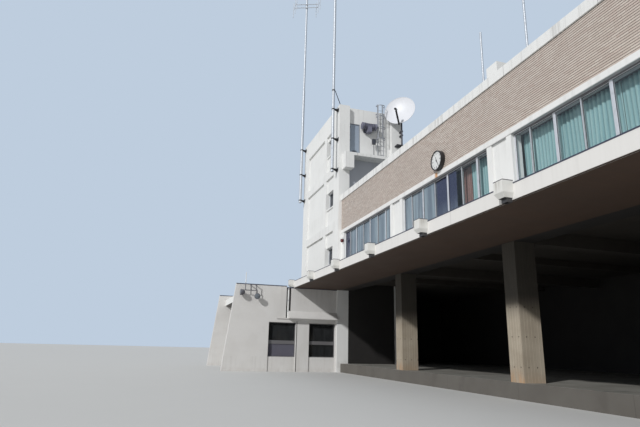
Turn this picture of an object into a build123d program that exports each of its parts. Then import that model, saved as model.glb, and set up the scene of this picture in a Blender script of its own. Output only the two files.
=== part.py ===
from build123d import *
import math
import os

# A two-storey fire station: three open vehicle bays under a long upper storey,
# a four-storey tower at the left end and a low wing in front of the tower.
# Millimetres. The front faces -Y, +X runs along the front to the right, +Z is up.
# The origin is under the middle of the whole plan, at the lowest ground point.

# Plan of the main block
BAY = 8000                  # spacing of the column lines
GARAGE_BAYS = 3
GARAGE_DEPTH = 12000        # front of the upper wall to the back of the building
COLUMN_WIDTH = 620
COLUMN_DEPTH = 770
COLUMN_SETBACK = 30         # column face behind the upper wall's face
WALL = 200                  # plain concrete walls
FACADE_DEPTH = 400          # deep wall that holds the ribbon windows
BEAM_WIDTH = 760
CEILING_BEAM_WIDTH = 400
MIDDLE_BEAM_WIDTH = 250
MIDDLE_BEAM_RISE = 180      # middle beams are this much shallower

# Levels of the main block
FLOOR_LEVEL = 500
CLEAR_HEIGHT = 4320         # garage floor to the underside of beam and canopy
BEAM_HEIGHT = 650
SLAB = 200
SILL_HEIGHT = 950           # upper floor to the window sill
WINDOW_HEIGHT = 1970
LINTEL_HEIGHT = 195
TILE_HEIGHT = 1985
COPING_HEIGHT = 370
PARAPET_INSIDE = 220        # roof surface below the coping

# Canopy over the bays
CANOPY_REACH = 2960
CANOPY_EDGE = 400
CANOPY_SLAB = 260
FASCIA_THICKNESS = 160
FLASHING = 8                # sheet on the fascia's top edge
FLASHING_LIP = 20           # its lip down the fascia
DRIP = 20

# Ribbon windows
PILASTER_REACH = 600        # pilaster's side face from the column line
PILASTER_EXTRA = 130        # inner pilasters reach this much further left
FIN_WIDTH = 260
FIN_PANEL_SETBACK = 70
FRAME_SETBACK = 120         # frame behind the wall's face
FRAME_DEPTH = 100
FRAME_BAR = 40
MULLION_WIDTH = 80
FIRST_MULLION = 1800        # first heavy mullion from the left jamb
MULLION_PITCH = 2040
NARROW_SASH = 740           # left jamb to the first meeting stile
SASH_BAR = 30
SASH_DEPTH = 36
TRACK_GAP = 6
GLASS = 6
FIT = 0.5                   # clearance of loose glazing and hung pieces

# Facing and coping
TILE_THICKNESS = 50
LINTEL_PROUD = 30
COPING_PROUD = 60
COPING_OVERHANG = 40

# Tower
TOWER_WIDTH = 8490
TOWER_DEPTH = 4540
TOWER_PROUD = 220           # tower front ahead of the upper wall's face
TOWER_OVERLAP = 130         # tower's right face past the first column line
TOWER_STOREY = 3880
TOWER_TOP_BAND = 1400
TOWER_LAST_STOREY = 2720    # top storey, floor to the underside of the top band
TOWER_BEAM = 550
TOWER_FRAME_DEPTH = 730
TOWER_PANEL_SETBACK = 120
LEFT_PIER = 1180
RIGHT_PIER = 1090
MIDDLE_PIER = 500
TOWER_WINDOW_WIDTH = 1600
TOWER_WINDOW_SILL = 1200
TOWER_WINDOW_HEIGHT = 1180
SIDE_SETBACK = 300          # side walls behind the faces of the corner piers

TOWER_PARAPET = 400         # tower roof surface below the top of its walls
TOWER_SILL_HEIGHT = 90
TOWER_SILL_REACH = 70
TOWER_FRAME_SETBACK = 180   # tower window frames behind the panel's face

# Landing, door, siren and ladder on the tower's right side
LANDING_REACH = 590
LANDING_START = 240         # landing's front end behind the tower's front
LANDING_LENGTH = 3200
LANDING_THICKNESS = 190
LANDING_RISE = 540          # landing above the tower's top floor
LANDING_BLOCK = 590
LANDING_BLOCK_HEIGHT = 1070
DOOR_WIDTH = 760
DOOR_HEIGHT = 2380
DOOR_OFFSET = 90            # door opening behind the front frame
DOOR_STEP = 60
DOOR_THICKNESS = 50
DOOR_SETBACK = 60
SIREN_RISE = 2250           # siren's axis above the landing
SIREN_OFFSET = 1380         # middle of the siren behind the front frame
SIREN_STANDOFF = 330
SIREN_DRUM = 460
SIREN_DRUM_LENGTH = 230
SIREN_BODY = 400
SIREN_BODY_LENGTH = 560
SIREN_MOUTH = 500
LADDER_WIDTH = 420
LADDER_STANDOFF = 220
LADDER_OFFSET = 2060        # ladder's near stile behind the front frame
LADDER_ABOVE = 500          # stiles above the tower's walls
STILE = 45
RUNG = 24
RUNG_PITCH = 330
HOOP_RADIUS = 330
HOOP_THICKNESS = 10
HOOP_HEIGHT = 50
HOOPS = 4
CONTROL_OFFSET = 1730       # control box's post behind the front frame
CONTROL_STANDOFF = 330
CONTROL_POST = 50
CONTROL_RISE = 1000         # box above the landing
CONTROL_BOX = 250
CONTROL_HEIGHT = 370
CONTROL_FOOT = 180

# Masts on the tower's front
LEFT_MAST_DIAMETER = 220
UPPER_MAST_DIAMETER = 180   # left mast above its step
RIGHT_MAST_DIAMETER = 190
MAST_STEP = 22400           # foot of the left mast's taper
MAST_TAPER = 160
MAST_WALL = 8
MAST_INSET = 290            # mast's axis in from the tower's corner
MAST_STANDOFF = 380
MAST_FOOT = 12550
LEFT_MAST_TOP = 31650
RIGHT_MAST_TOP = 26500
BRACKET_LOW = 12700
BRACKET_PITCH = 2150
BRACKET_HEIGHT = 90
BRACKET_PLATE = 20
BRACKET_PLATE_WIDTH = 260
BRACKET_ARM = 80
CLAMP_WALL = 14
STAY_FOOT_SETBACK = 170
STAY_RISE = 1100
STAY_DIAMETER = 50

# Twin antenna near the top of the left mast
CROSSARM_DROP = 1080        # lower crossarm below the mast's top
CROSSARM_GAP = 330
CROSSARM_LENGTH = 2050
CROSSARM_DIAMETER = 60
CROSSARM_TURN = -22         # degrees from straight across the front
BOOM_LENGTH = 1300
BOOM_DIAMETER = 28
ELEMENT_LENGTH = 1500
ELEMENT_DIAMETER = 50
ELEMENT_PITCH = 600

# Dish on a post beside the tower's rear corner pier
DISH_DIAMETER = 2150
DISH_DEPTH = 230
DISH_SHELL = 12
DISH_AZIMUTH = -42.5        # degrees from +X
DISH_ELEVATION = 9.6
DISH_HUB = 200
DISH_POST_DIAMETER = 114
DISH_POST_LENGTH = 2490
DISH_DROP = 70              # dish's hub below the tower's top
DISH_POST_REACH = 280       # post's axis out from the pier's face
DISH_POST_INSET = 100       # post's axis in from the tower's rear face
DISH_SHELF = 90
DISH_SHELF_WIDTH = 520
POST_CLAMP_LOW = 700        # lower clamp above the shelf
POST_CLAMP_GAP = 290
FEED_DISTANCE = 900
FEED_DROP = 520
FEED_DIAMETER = 150
FEED_ARM = 100
FEED_LUG = 36

# Roof pieces near the front of the main block
ROOF_BLOCK_WIDTH = 620
ROOF_BLOCK_LENGTH = 950
ROOF_BLOCK_HEIGHT = 1400
ROOF_BLOCK_PLACE = -660     # its left side from the third column line
POLE_DIAMETER = 80
POLE_HEIGHT = 3350
POLE_PLACES = (-1440, 1060) # from the third column line
POLE_SETBACK = 600
POLE_BASE = 260
POLE_BASE_HEIGHT = 30

# Clock on the tiled wall
CLOCK_DIAMETER = 840
CLOCK_DEPTH = 190
CLOCK_RIM = 45
CLOCK_LEVEL = 9010
CLOCK_PLACE = 140           # clock's axis from the middle of its bay
CLOCK_LIP = 30
DIAL_THICKNESS = 12
HOUR_HAND = 190
MINUTE_HAND = 300
HAND_WIDTH = 34
HAND_THICKNESS = 6
HOUR_ANGLE = 342            # degrees clockwise from twelve
MINUTE_ANGLE = 150

# Rain hoppers on the canopy's fascia
HOPPER_PITCH = 4000
HOPPER_WIDTH = 340
HOPPER_REACH = 300
HOPPER_FOOT_WIDTH = 240
HOPPER_FOOT_REACH = 220
HOPPER_CLEAR = 40           # hopper foot above the canopy's underside
HOPPER_ABOVE = 65           # hopper rim above the fascia's top
HOPPER_WALL = 25
OUTLET_WIDTH = 200
OUTLET_REACH = 150
OUTLET_LENGTH = 100
CANOPY_SIDE = 310           # canopy's left end past the first column line

# Curtains behind the ribbon windows
CURTAIN_THICKNESS = 60
CURTAIN_RAIL = 60
CURTAIN_GAP = 60
CURTAIN_CLEAR = 20
MIDDLE_CURTAIN = 1480       # drawn length at the right of the middle bay
NARROW_CURTAIN = 520        # gathered curtain beside it

# Wing in front of the tower
WING_REACH = 6960           # foot of the slanted side walls ahead of the upper wall
WING_WALL = 300
WING_RISE = 80              # taller front part above the canopy's underside
WING_SLANT = 570
WING_INSET = 90             # wing's right face behind the tower's right face
WING_FRONT_SETBACK = 1400   # street wall behind the head of the side walls
WING_ROOF_DROP = 200
WING_BLOCK_GAP = 120        # rain hopper behind the taller front part
CHASE_WIDTH = 270
CHASE_DEPTH = 120
CHASE_FOOT = 3000
PIPE_DIAMETER = 110
SPANDREL_RECESS = 50
TRANSOM_RISE = 820          # middle of the transom above the window's foot
TRANSOM_HEIGHT = 200
WING_WINDOW_SILL = 820
WING_WINDOW_HEIGHT = 1950
WING_WINDOW_WIDTH = 1640
WING_WINDOW_START = 4370    # first side window's left jamb ahead of the upper wall
WING_WINDOW_PITCH = 2440
WING_WINDOW_SETBACK = 160
WING_FRAME_DEPTH = 80
HOOD_REACH = 330
HOOD_EDGE = 60
HOOD_RISE = 230             # hood's underside above the window head
HOOD_BACK = 440             # hood's height at the wall
HOOD_START = 3250           # hood's front end ahead of the upper wall
LEDGE_LENGTH = 680          # thin ledge ahead of the hood
LEDGE = 50
FRONT_HOOD_REACH = 950
FRONT_HOOD_EDGE = 400
FRONT_HOOD_DROP = 350       # hood's edge below its top
FRONT_HOOD_BACK = 1000      # hood's height at the street wall
LAMP_DIAMETER = 330
LAMP_DEPTH = 260
LAMP_ARM = 840
LAMP_LEVEL = 400            # lamp arm below the top of the side wall
LAMP_DROPS = (130, 330)     # street lamp and yard lamp below the arm
LAMP_HOOKS = (470, 780)     # hooks from the arm's street end
LAMP_STANDOFF = 260
LAMP_BAR = 45
LAMP_PLACE = 350            # arm's street end behind the head of the side wall
LAMP_POLE = 630             # thin pole above the side wall
LAMP_POLE_PLACE = 140       # pole from the arm's street end

LENGTH = TOWER_WIDTH - TOWER_OVERLAP + GARAGE_BAYS * BAY + COLUMN_WIDTH / 2
LEFT = -LENGTH / 2
RIGHT = LENGTH / 2
FRONT = (WING_REACH - GARAGE_DEPTH) / 2
BACK = FRONT + GARAGE_DEPTH

BEAM_UNDER = FLOOR_LEVEL + CLEAR_HEIGHT
UPPER_FLOOR = BEAM_UNDER + BEAM_HEIGHT
SILL = UPPER_FLOOR + SILL_HEIGHT
HEAD = SILL + WINDOW_HEIGHT
TILE_BOTTOM = HEAD + LINTEL_HEIGHT
WALL_TOP = TILE_BOTTOM + TILE_HEIGHT
ROOF = WALL_TOP - PARAPET_INSIDE
CANOPY_FRONT = FRONT - CANOPY_REACH
CANOPY_TOP = BEAM_UNDER + CANOPY_EDGE
HOPPER_FOOT = BEAM_UNDER + HOPPER_CLEAR

TOWER_RIGHT = LEFT + TOWER_WIDTH
TOWER_FRONT = FRONT - TOWER_PROUD
TOWER_BACK = TOWER_FRONT + TOWER_DEPTH
TOWER_FLOORS = [UPPER_FLOOR + i * TOWER_STOREY for i in range(3)]
BAND_UNDER = TOWER_FLOORS[-1] + TOWER_LAST_STOREY
TOWER_TOP = BAND_UNDER + TOWER_TOP_BAND
TOWER_INNER_FRONT = TOWER_FRONT + TOWER_FRAME_DEPTH
TOWER_INNER_BACK = TOWER_BACK - TOWER_FRAME_DEPTH
SIDE_WALL = TOWER_RIGHT - SIDE_SETBACK      # outer face of the tower's right side wall
STRIP_LEFT = TOWER_RIGHT - RIGHT_PIER - TOWER_WINDOW_WIDTH
LANDING = TOWER_FLOORS[-1] + LANDING_RISE
CANOPY_LEFT = TOWER_RIGHT - TOWER_OVERLAP - CANOPY_SIDE
MAST_Y = TOWER_FRONT - MAST_STANDOFF
CROSSARM_LEVEL = LEFT_MAST_TOP - CROSSARM_DROP
HUB_LEVEL = TOWER_TOP - DISH_DROP

WING_RIGHT = TOWER_RIGHT - WING_INSET
WING_FOOT = FRONT - WING_REACH
WING_HEAD = WING_FOOT + WING_SLANT
WING_FRONT = WING_HEAD + WING_FRONT_SETBACK
WING_HEIGHT = BEAM_UNDER + WING_RISE
BLOCK_END = CANOPY_FRONT - HOPPER_REACH - WING_BLOCK_GAP


def grid(line):
    """X of a column line, counted from the one inside the tower's right wall."""
    return TOWER_RIGHT - TOWER_OVERLAP + line * BAY


def block(x, y, z):
    """A straight block between two X, two Y and two Z coordinates."""
    middle = [(a + b) / 2 for a, b in (x, y, z)]
    return Pos(*middle) * Box(x[1] - x[0], y[1] - y[0], z[1] - z[0])


def along_x(points, x):
    """A (Y, Z) outline carried from x[0] to x[1]."""
    outline = Plane.YZ.offset(x[0]) * Polygon(*points, align=None)
    return extrude(outline, amount=x[1] - x[0], dir=(1, 0, 0))


def along_y(points, y):
    """An (X, Z) outline carried from y[0] to y[1]."""
    outline = Plane.XZ.offset(-y[0]) * Polygon(*points, align=None)
    return extrude(outline, amount=y[1] - y[0], dir=(0, 1, 0))


def along_z(points, z):
    """An (X, Y) outline carried from z[0] to z[1]."""
    outline = Plane.XY.offset(z[0]) * Polygon(*points, align=None)
    return extrude(outline, amount=z[1] - z[0], dir=(0, 0, 1))


def rod(start, end, diameter):
    """A round bar between two points."""
    line = Line(start, end)
    return sweep(Plane(origin=start, z_dir=line % 0) * Circle(diameter / 2), path=line)


def turn_back(piece):
    """The same piece on the back of the building."""
    return mirror(piece, about=Plane.XZ.offset(-(FRONT + BACK) / 2))


def save(node, *pieces):
    solids = [solid for piece in pieces for solid in piece.solids()]
    shape = solids[0] if len(solids) == 1 else Compound(solids)
    shape.label = node
    export_step(shape, os.path.join("parts", node + ".step"))


# Slabs, columns and beams

def l_slab(z, right, front, back, inset):
    """A slab under the main block and behind the tower."""
    outline = [
        (TOWER_RIGHT, front),
        (right, front),
        (right, back),
        (LEFT + inset, back),
        (LEFT + inset, TOWER_BACK),
        (TOWER_RIGHT, TOWER_BACK),
    ]
    return along_z(outline, z)


def garage_floor():
    return l_slab((0, FLOOR_LEVEL), RIGHT, FRONT + COLUMN_SETBACK, BACK, 0)


def front_column(line):
    x = grid(line)
    y = FRONT + COLUMN_SETBACK
    return block(
        (x - COLUMN_WIDTH / 2, x + COLUMN_WIDTH / 2),
        (y, y + COLUMN_DEPTH),
        (FLOOR_LEVEL, BEAM_UNDER),
    )


def front_beam():
    return block((TOWER_RIGHT, RIGHT), (FRONT, FRONT + BEAM_WIDTH), (BEAM_UNDER, UPPER_FLOOR))


def ceiling_beams():
    y = (FRONT + BEAM_WIDTH, BACK - WALL)
    beams = []
    for line in range(1, GARAGE_BAYS):
        x = (grid(line) - CEILING_BEAM_WIDTH / 2, grid(line) + CEILING_BEAM_WIDTH / 2)
        beams.append(block(x, y, (BEAM_UNDER, UPPER_FLOOR - SLAB)))
    for bay in range(GARAGE_BAYS):
        centre = grid(bay) + BAY / 2
        x = (centre - MIDDLE_BEAM_WIDTH / 2, centre + MIDDLE_BEAM_WIDTH / 2)
        beams.append(block(x, y, (BEAM_UNDER + MIDDLE_BEAM_RISE, UPPER_FLOOR - SLAB)))
    return beams


def upper_floor():
    return l_slab((UPPER_FLOOR - SLAB, UPPER_FLOOR), RIGHT - WALL, FRONT + BEAM_WIDTH, BACK - WALL, WALL)


def roof_slab():
    return l_slab((ROOF - SLAB, ROOF), RIGHT - WALL, FRONT + WALL, BACK - WALL, WALL)


# Canopy

def canopy():
    groove = CANOPY_FRONT + FASCIA_THICKNESS / 2
    outline = [
        (CANOPY_FRONT, BEAM_UNDER),
        (groove, BEAM_UNDER),
        (groove, BEAM_UNDER + DRIP),
        (groove + DRIP, BEAM_UNDER + DRIP),
        (groove + DRIP, BEAM_UNDER),
        (FRONT, BEAM_UNDER),
        (FRONT, BEAM_UNDER + CANOPY_SLAB + DRIP),
        (CANOPY_FRONT + FASCIA_THICKNESS, BEAM_UNDER + CANOPY_SLAB),
        (CANOPY_FRONT + FASCIA_THICKNESS, CANOPY_TOP),
        (CANOPY_FRONT, CANOPY_TOP),
    ]
    slab = along_x(outline, (CANOPY_LEFT, RIGHT))
    corner = block(
        (CANOPY_LEFT, TOWER_RIGHT),
        (TOWER_FRONT, FRONT),
        (BEAM_UNDER, CANOPY_TOP),
    )
    return slab - corner


def canopy_flashing():
    outline = [
        (CANOPY_FRONT - FLASHING, CANOPY_TOP - FLASHING_LIP),
        (CANOPY_FRONT, CANOPY_TOP - FLASHING_LIP),
        (CANOPY_FRONT, CANOPY_TOP),
        (CANOPY_FRONT + FASCIA_THICKNESS, CANOPY_TOP),
        (CANOPY_FRONT + FASCIA_THICKNESS, CANOPY_TOP + FLASHING),
        (CANOPY_FRONT - FLASHING, CANOPY_TOP + FLASHING),
    ]
    strip = along_x(outline, (CANOPY_LEFT, RIGHT))
    for x in hopper_places():
        strip -= block(
            (x - HOPPER_WIDTH / 2 - FIT, x + HOPPER_WIDTH / 2 + FIT),
            (CANOPY_FRONT - HOPPER_REACH, CANOPY_FRONT + FASCIA_THICKNESS / 2),
            (HOPPER_FOOT, CANOPY_TOP + HOPPER_ABOVE),
        )
    return strip


def hopper_places():
    """Hoppers stand every half bay, from the first column line to the last."""
    count = round((grid(GARAGE_BAYS) - grid(0)) / HOPPER_PITCH)
    places = [grid(0) + i * HOPPER_PITCH for i in range(count)]
    return places + [RIGHT - HOPPER_WIDTH / 2]


def rain_hopper(x):
    """A funnel that hangs on the fascia, open at the rim and at the foot."""
    def ring(width, reach, z):
        return Pos(x, CANOPY_FRONT - reach / 2, z) * Rectangle(width, reach)

    top = CANOPY_TOP + HOPPER_ABOVE
    knee = (CANOPY_TOP + 2 * HOPPER_FOOT) / 3
    wall = 2 * HOPPER_WALL
    box = extrude(ring(HOPPER_WIDTH, HOPPER_REACH, knee), amount=top - knee, dir=(0, 0, 1))
    funnel = loft([
        ring(HOPPER_FOOT_WIDTH, HOPPER_FOOT_REACH, HOPPER_FOOT),
        ring(HOPPER_WIDTH, HOPPER_REACH, knee),
    ])
    hollow = Pos(x, CANOPY_FRONT - HOPPER_REACH / 2, (top + knee) / 2) * Box(
        HOPPER_WIDTH - wall, HOPPER_REACH - wall, top - knee
    )
    throat = Pos(x, CANOPY_FRONT - OUTLET_REACH / 2, HOPPER_FOOT) * Box(
        OUTLET_WIDTH - wall, OUTLET_REACH - wall, 2 * CANOPY_EDGE
    )
    return box + funnel + hopper_outlet(x) - hollow - throat


def hopper_outlet(x):
    """A short spout; the first hopper has none and drains into the wing's chase."""
    if x < WING_RIGHT:
        return Part()
    shape = Pos(x, CANOPY_FRONT - OUTLET_REACH / 2, HOPPER_FOOT) * Rectangle(OUTLET_WIDTH, OUTLET_REACH)
    return extrude(shape, amount=OUTLET_LENGTH, dir=(0, 0, -1))


# Walls of the main block

def end_wall():
    y_column = FRONT + COLUMN_SETBACK + COLUMN_DEPTH
    outline = [
        (y_column, FLOOR_LEVEL),
        (BACK - WALL, FLOOR_LEVEL),
        (BACK - WALL, WALL_TOP),
        (FRONT + FACADE_DEPTH, WALL_TOP),
        (FRONT + FACADE_DEPTH, UPPER_FLOOR),
        (FRONT + BEAM_WIDTH, UPPER_FLOOR),
        (FRONT + BEAM_WIDTH, BEAM_UNDER),
        (y_column, BEAM_UNDER),
    ]
    return along_x(outline, (RIGHT - WALL, RIGHT))


def pilaster_span(line):
    """Left and right side faces of the pilaster on one column line."""
    extra = PILASTER_EXTRA if 0 < line < GARAGE_BAYS else 0
    return grid(line) - PILASTER_REACH - extra, grid(line) + PILASTER_REACH


def window_bays():
    """Left and right jambs of the ribbon windows, one pair for each bay."""
    return [(pilaster_span(bay)[1], pilaster_span(bay + 1)[0]) for bay in range(GARAGE_BAYS)]


def back_wall():
    wall = block((LEFT, RIGHT), (BACK - WALL, BACK), (FLOOR_LEVEL, WALL_TOP))
    for jambs in window_bays():
        wall -= block(jambs, (BACK - 2 * WALL, BACK + WALL), (SILL, HEAD))
    return wall


def sill_outline():
    return [
        (FRONT, UPPER_FLOOR),
        (FRONT + FACADE_DEPTH, UPPER_FLOOR),
        (FRONT + FACADE_DEPTH, SILL),
        (FRONT + FRAME_SETBACK, SILL),
        (FRONT, SILL - DRIP),
    ]


def front_sill_wall():
    return along_x(sill_outline(), (TOWER_RIGHT, RIGHT))


def front_upper_wall():
    y_back = FRONT + FACADE_DEPTH
    outline = [
        (FRONT - LINTEL_PROUD, HEAD),
        (y_back, HEAD),
        (y_back, TILE_BOTTOM + WALL),
        (FRONT + WALL, TILE_BOTTOM + 2 * WALL),
        (FRONT + WALL, WALL_TOP),
        (FRONT + TILE_THICKNESS, WALL_TOP),
        (FRONT + TILE_THICKNESS, TILE_BOTTOM),
        (FRONT - LINTEL_PROUD, TILE_BOTTOM),
    ]
    return along_x(outline, (TOWER_RIGHT, RIGHT))


def front_tiles():
    return block((TOWER_RIGHT, RIGHT), (FRONT, FRONT + TILE_THICKNESS), (TILE_BOTTOM, WALL_TOP))


def front_pilasters():
    """Pairs of fins with a recessed panel between, and a half pair at each end."""
    pieces = []
    y_panel = FRONT + FIN_PANEL_SETBACK
    y_back = FRONT + FACADE_DEPTH
    for line in range(GARAGE_BAYS + 1):
        left = max(pilaster_span(line)[0], TOWER_RIGHT)
        right = min(pilaster_span(line)[1], RIGHT)
        outline = [(left, y_back), (left, FRONT)]
        if left > TOWER_RIGHT:
            outline += [(left + FIN_WIDTH, FRONT), (left + FIN_WIDTH, y_panel)]
        if left > TOWER_RIGHT and right < RIGHT:
            outline += [(right - FIN_WIDTH, y_panel), (right - FIN_WIDTH, FRONT)]
        if left > TOWER_RIGHT and right == RIGHT:
            outline += [(right, y_panel)]
        else:
            outline += [(right, FRONT)]
        outline += [(right, y_back)]
        pieces.append(along_z(outline, (SILL - DRIP, HEAD)) - along_x(sill_outline(), (left, right)))
    return pieces


def coping_outline():
    """Coping across the wall: distance in from the face, height above the wall top."""
    return [
        (-COPING_PROUD, 0),
        (WALL + COPING_OVERHANG, 0),
        (WALL + COPING_OVERHANG, COPING_HEIGHT - DRIP),
        (-COPING_PROUD, COPING_HEIGHT),
    ]


def front_coping():
    outline = [(FRONT + y, WALL_TOP + z) for y, z in coping_outline()]
    return along_x(outline, (TOWER_RIGHT, RIGHT + COPING_PROUD))


def side_copings():
    back = [(BACK - y, WALL_TOP + z) for y, z in coping_outline()]
    end = [(RIGHT - x, WALL_TOP + z) for x, z in coping_outline()]
    left = [(LEFT + x, WALL_TOP + z) for x, z in coping_outline()]
    inner = WALL + COPING_OVERHANG + FIT
    return [
        along_x(back, (LEFT - COPING_PROUD, RIGHT + COPING_PROUD)),
        along_y(end, (FRONT + inner, BACK - inner)),
        along_y(left, (TOWER_BACK, BACK - inner)),
    ]


def left_wall():
    """The left end: a tall length beside the tower and a lower one behind it."""
    x = (LEFT, LEFT + WALL)
    return [
        block(x, (TOWER_INNER_FRONT, TOWER_INNER_BACK), (0, TOWER_TOP)),
        block(x, (TOWER_BACK, BACK - WALL), (FLOOR_LEVEL, WALL_TOP)),
    ]


# Ribbon windows

def mullion_places(jambs):
    """Centres of the three heavy mullions of one ribbon window."""
    return [jambs[0] + FIRST_MULLION + i * MULLION_PITCH for i in range(3)]


def window_frames():
    y = (FRONT + FRAME_SETBACK, FRONT + FRAME_SETBACK + FRAME_DEPTH)
    frames = []
    for jambs in window_bays():
        frame = block(jambs, y, (SILL, HEAD))
        for light in lights(jambs):
            frame -= block(light, (y[0] - WALL, y[1] + WALL), (SILL + FRAME_BAR, HEAD - FRAME_BAR))
        frames.append(frame)
    return frames


def lights(jambs):
    """Clear openings of one ribbon window: three for sliding pairs and a single one."""
    edges = [jambs[0] + FRAME_BAR - MULLION_WIDTH / 2]
    edges += mullion_places(jambs)
    edges += [jambs[1] - FRAME_BAR + MULLION_WIDTH / 2]
    return [
        (left + MULLION_WIDTH / 2, right - MULLION_WIDTH / 2)
        for left, right in zip(edges, edges[1:])
    ]


def sash_places():
    """X span and track of each sash: outer track 0, inner track 1."""
    places = []
    for jambs in window_bays():
        *pairs, single = lights(jambs)
        meetings = [(left + right) / 2 for left, right in pairs]
        meetings[0] = jambs[0] + NARROW_SASH
        for (left, right), meeting in zip(pairs, meetings):
            places.append(((left, meeting + SASH_BAR / 2), 0))
            places.append(((meeting - SASH_BAR / 2, right), 1))
        places.append((single, 0))
    return places


def sash(place):
    (left, right), track = place
    y = track_front(track)
    x = (left + FIT, right - FIT)
    z = (SILL + FRAME_BAR + FIT, HEAD - FRAME_BAR - FIT)
    frame = block(x, (y, y + SASH_DEPTH), z)
    inner_x = (x[0] + SASH_BAR, x[1] - SASH_BAR)
    inner_z = (z[0] + SASH_BAR, z[1] - SASH_BAR)
    return frame - block(inner_x, (y - WALL, y + WALL), inner_z)


def track_front(track):
    return FRONT + FRAME_SETBACK + SASH_DEPTH / 4 + track * (SASH_DEPTH + TRACK_GAP)


def sash_glass(place):
    (left, right), track = place
    y = track_front(track) + (SASH_DEPTH - GLASS) / 2
    reach = FIT + SASH_BAR + FIT / 2
    x = (left + reach, right - reach)
    z = (SILL + FRAME_BAR + reach, HEAD - FRAME_BAR - reach)
    return block(x, (y, y + GLASS), z)


def back_set(piece):
    """A window piece of the front, turned round and set in the thinner back wall."""
    shift = FRAME_SETBACK - (WALL - FRAME_DEPTH) / 2
    return Pos(0, shift, 0) * turn_back(piece)


def curtain_rails():
    y = (FRONT + FACADE_DEPTH, FRONT + FACADE_DEPTH + 2 * CURTAIN_GAP + CURTAIN_THICKNESS)
    return [block(jambs, y, (HEAD, HEAD + CURTAIN_RAIL)) for jambs in window_bays()[1:]]


def curtain_spans():
    """X spans of the drawn curtains: two at the right of the middle bay, then the last bay."""
    _, middle, last = window_bays()
    end = middle[1] - FRAME_BAR
    split = end - MIDDLE_CURTAIN
    spans = [(split - NARROW_CURTAIN, split), (split, end)] + lights(last)
    return [(left + CURTAIN_CLEAR, right - CURTAIN_CLEAR) for left, right in spans]


def front_curtains():
    y = FRONT + FACADE_DEPTH + CURTAIN_GAP
    z = (SILL - CURTAIN_CLEAR, HEAD - FIT)
    return [block(x, (y, y + CURTAIN_THICKNESS), z) for x in curtain_spans()]


# Tower

def tower_front_wall():
    """Piers and recessed panels, with a flush beam at each floor and windows on the right."""
    panel = TOWER_FRONT + TOWER_PANEL_SETBACK
    left = LEFT + LEFT_PIER
    middle = STRIP_LEFT - MIDDLE_PIER
    right = STRIP_LEFT + TOWER_WINDOW_WIDTH
    outline = [
        (LEFT, TOWER_INNER_FRONT),
        (LEFT, TOWER_FRONT),
        (left, TOWER_FRONT),
        (left, panel),
        (middle, panel),
        (middle, TOWER_FRONT),
        (STRIP_LEFT, TOWER_FRONT),
        (STRIP_LEFT, panel),
        (right, panel),
        (right, TOWER_FRONT),
        (TOWER_RIGHT, TOWER_FRONT),
        (TOWER_RIGHT, TOWER_INNER_FRONT),
    ]
    wall = along_z(outline, (0, TOWER_TOP))
    beams = [(floor - TOWER_BEAM, floor) for floor in TOWER_FLOORS] + [(BAND_UNDER, TOWER_TOP)]
    for z in beams:
        wall += block((left, right), (TOWER_FRONT, panel), z)
    for x, y, z in tower_windows():
        wall -= block(x, (y - WALL, TOWER_INNER_FRONT + WALL), z)
        sill = block(x, (panel - TOWER_SILL_REACH, panel), (z[0] - TOWER_SILL_HEIGHT, z[0]))
        wall += sill
    return wall


def tower_windows():
    """X span, front of the reveal and Z span of each tower window."""
    x = (STRIP_LEFT, STRIP_LEFT + TOWER_WINDOW_WIDTH)
    panel = TOWER_FRONT + TOWER_PANEL_SETBACK
    sills = [floor + TOWER_WINDOW_SILL for floor in TOWER_FLOORS]
    return [(x, panel, (sill, sill + TOWER_WINDOW_HEIGHT)) for sill in sills]


def sliding_pair(x, y, z):
    """A frame with two lights; returns the frame and its two panes."""
    middle = (x[0] + x[1]) / 2
    frame = block(x, y, z)
    panes = []
    clear_z = (z[0] + FRAME_BAR, z[1] - FRAME_BAR)
    spans = [
        (x[0] + FRAME_BAR, middle - FRAME_BAR / 2),
        (middle + FRAME_BAR / 2, x[1] - FRAME_BAR),
    ]
    centre = (y[0] + y[1]) / 2
    for span in spans:
        frame -= block(span, (y[0] - WALL, y[1] + WALL), clear_z)
        pane_x = (span[0] + FIT, span[1] - FIT)
        pane_z = (clear_z[0] + FIT, clear_z[1] - FIT)
        panes.append(block(pane_x, (centre - GLASS / 2, centre + GLASS / 2), pane_z))
    return frame, panes


def tower_window_pieces():
    frames, panes = [], []
    for x, y, z in tower_windows():
        front = y + TOWER_FRAME_SETBACK
        frame, pair = sliding_pair(x, (front, front + FRAME_DEPTH), z)
        frames.append(frame)
        panes += pair
    return frames, panes


def tower_right_wall():
    """Flush with the piers up to the main roof, set back between them above it."""
    outline = [
        (SIDE_WALL - WALL, 0),
        (TOWER_RIGHT, 0),
        (TOWER_RIGHT, ROOF),
        (SIDE_WALL, ROOF),
        (SIDE_WALL, TOWER_TOP),
        (SIDE_WALL - WALL, TOWER_TOP),
    ]
    wall = along_y(outline, (TOWER_INNER_FRONT, TOWER_INNER_BACK))
    y, z = door_opening()
    return wall - block((SIDE_WALL - 2 * WALL, TOWER_RIGHT), y, z)


def door_opening():
    start = TOWER_INNER_FRONT + DOOR_OFFSET
    foot = LANDING + DOOR_STEP
    return (start, start + DOOR_WIDTH), (foot, foot + DOOR_HEIGHT)


def landing_door():
    y, z = door_opening()
    x = SIDE_WALL - DOOR_SETBACK
    leaf = block((x - DOOR_THICKNESS, x), (y[0] + FIT, y[1] - FIT), (z[0] + FIT, z[1] - FIT))
    knob_y = y[1] - DOOR_STEP
    knob = rod((x - DOOR_THICKNESS / 2, knob_y, z[0] + DOOR_HEIGHT / 2),
               (x + DOOR_SETBACK, knob_y, z[0] + DOOR_HEIGHT / 2), DOOR_THICKNESS)
    return leaf + knob


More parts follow.
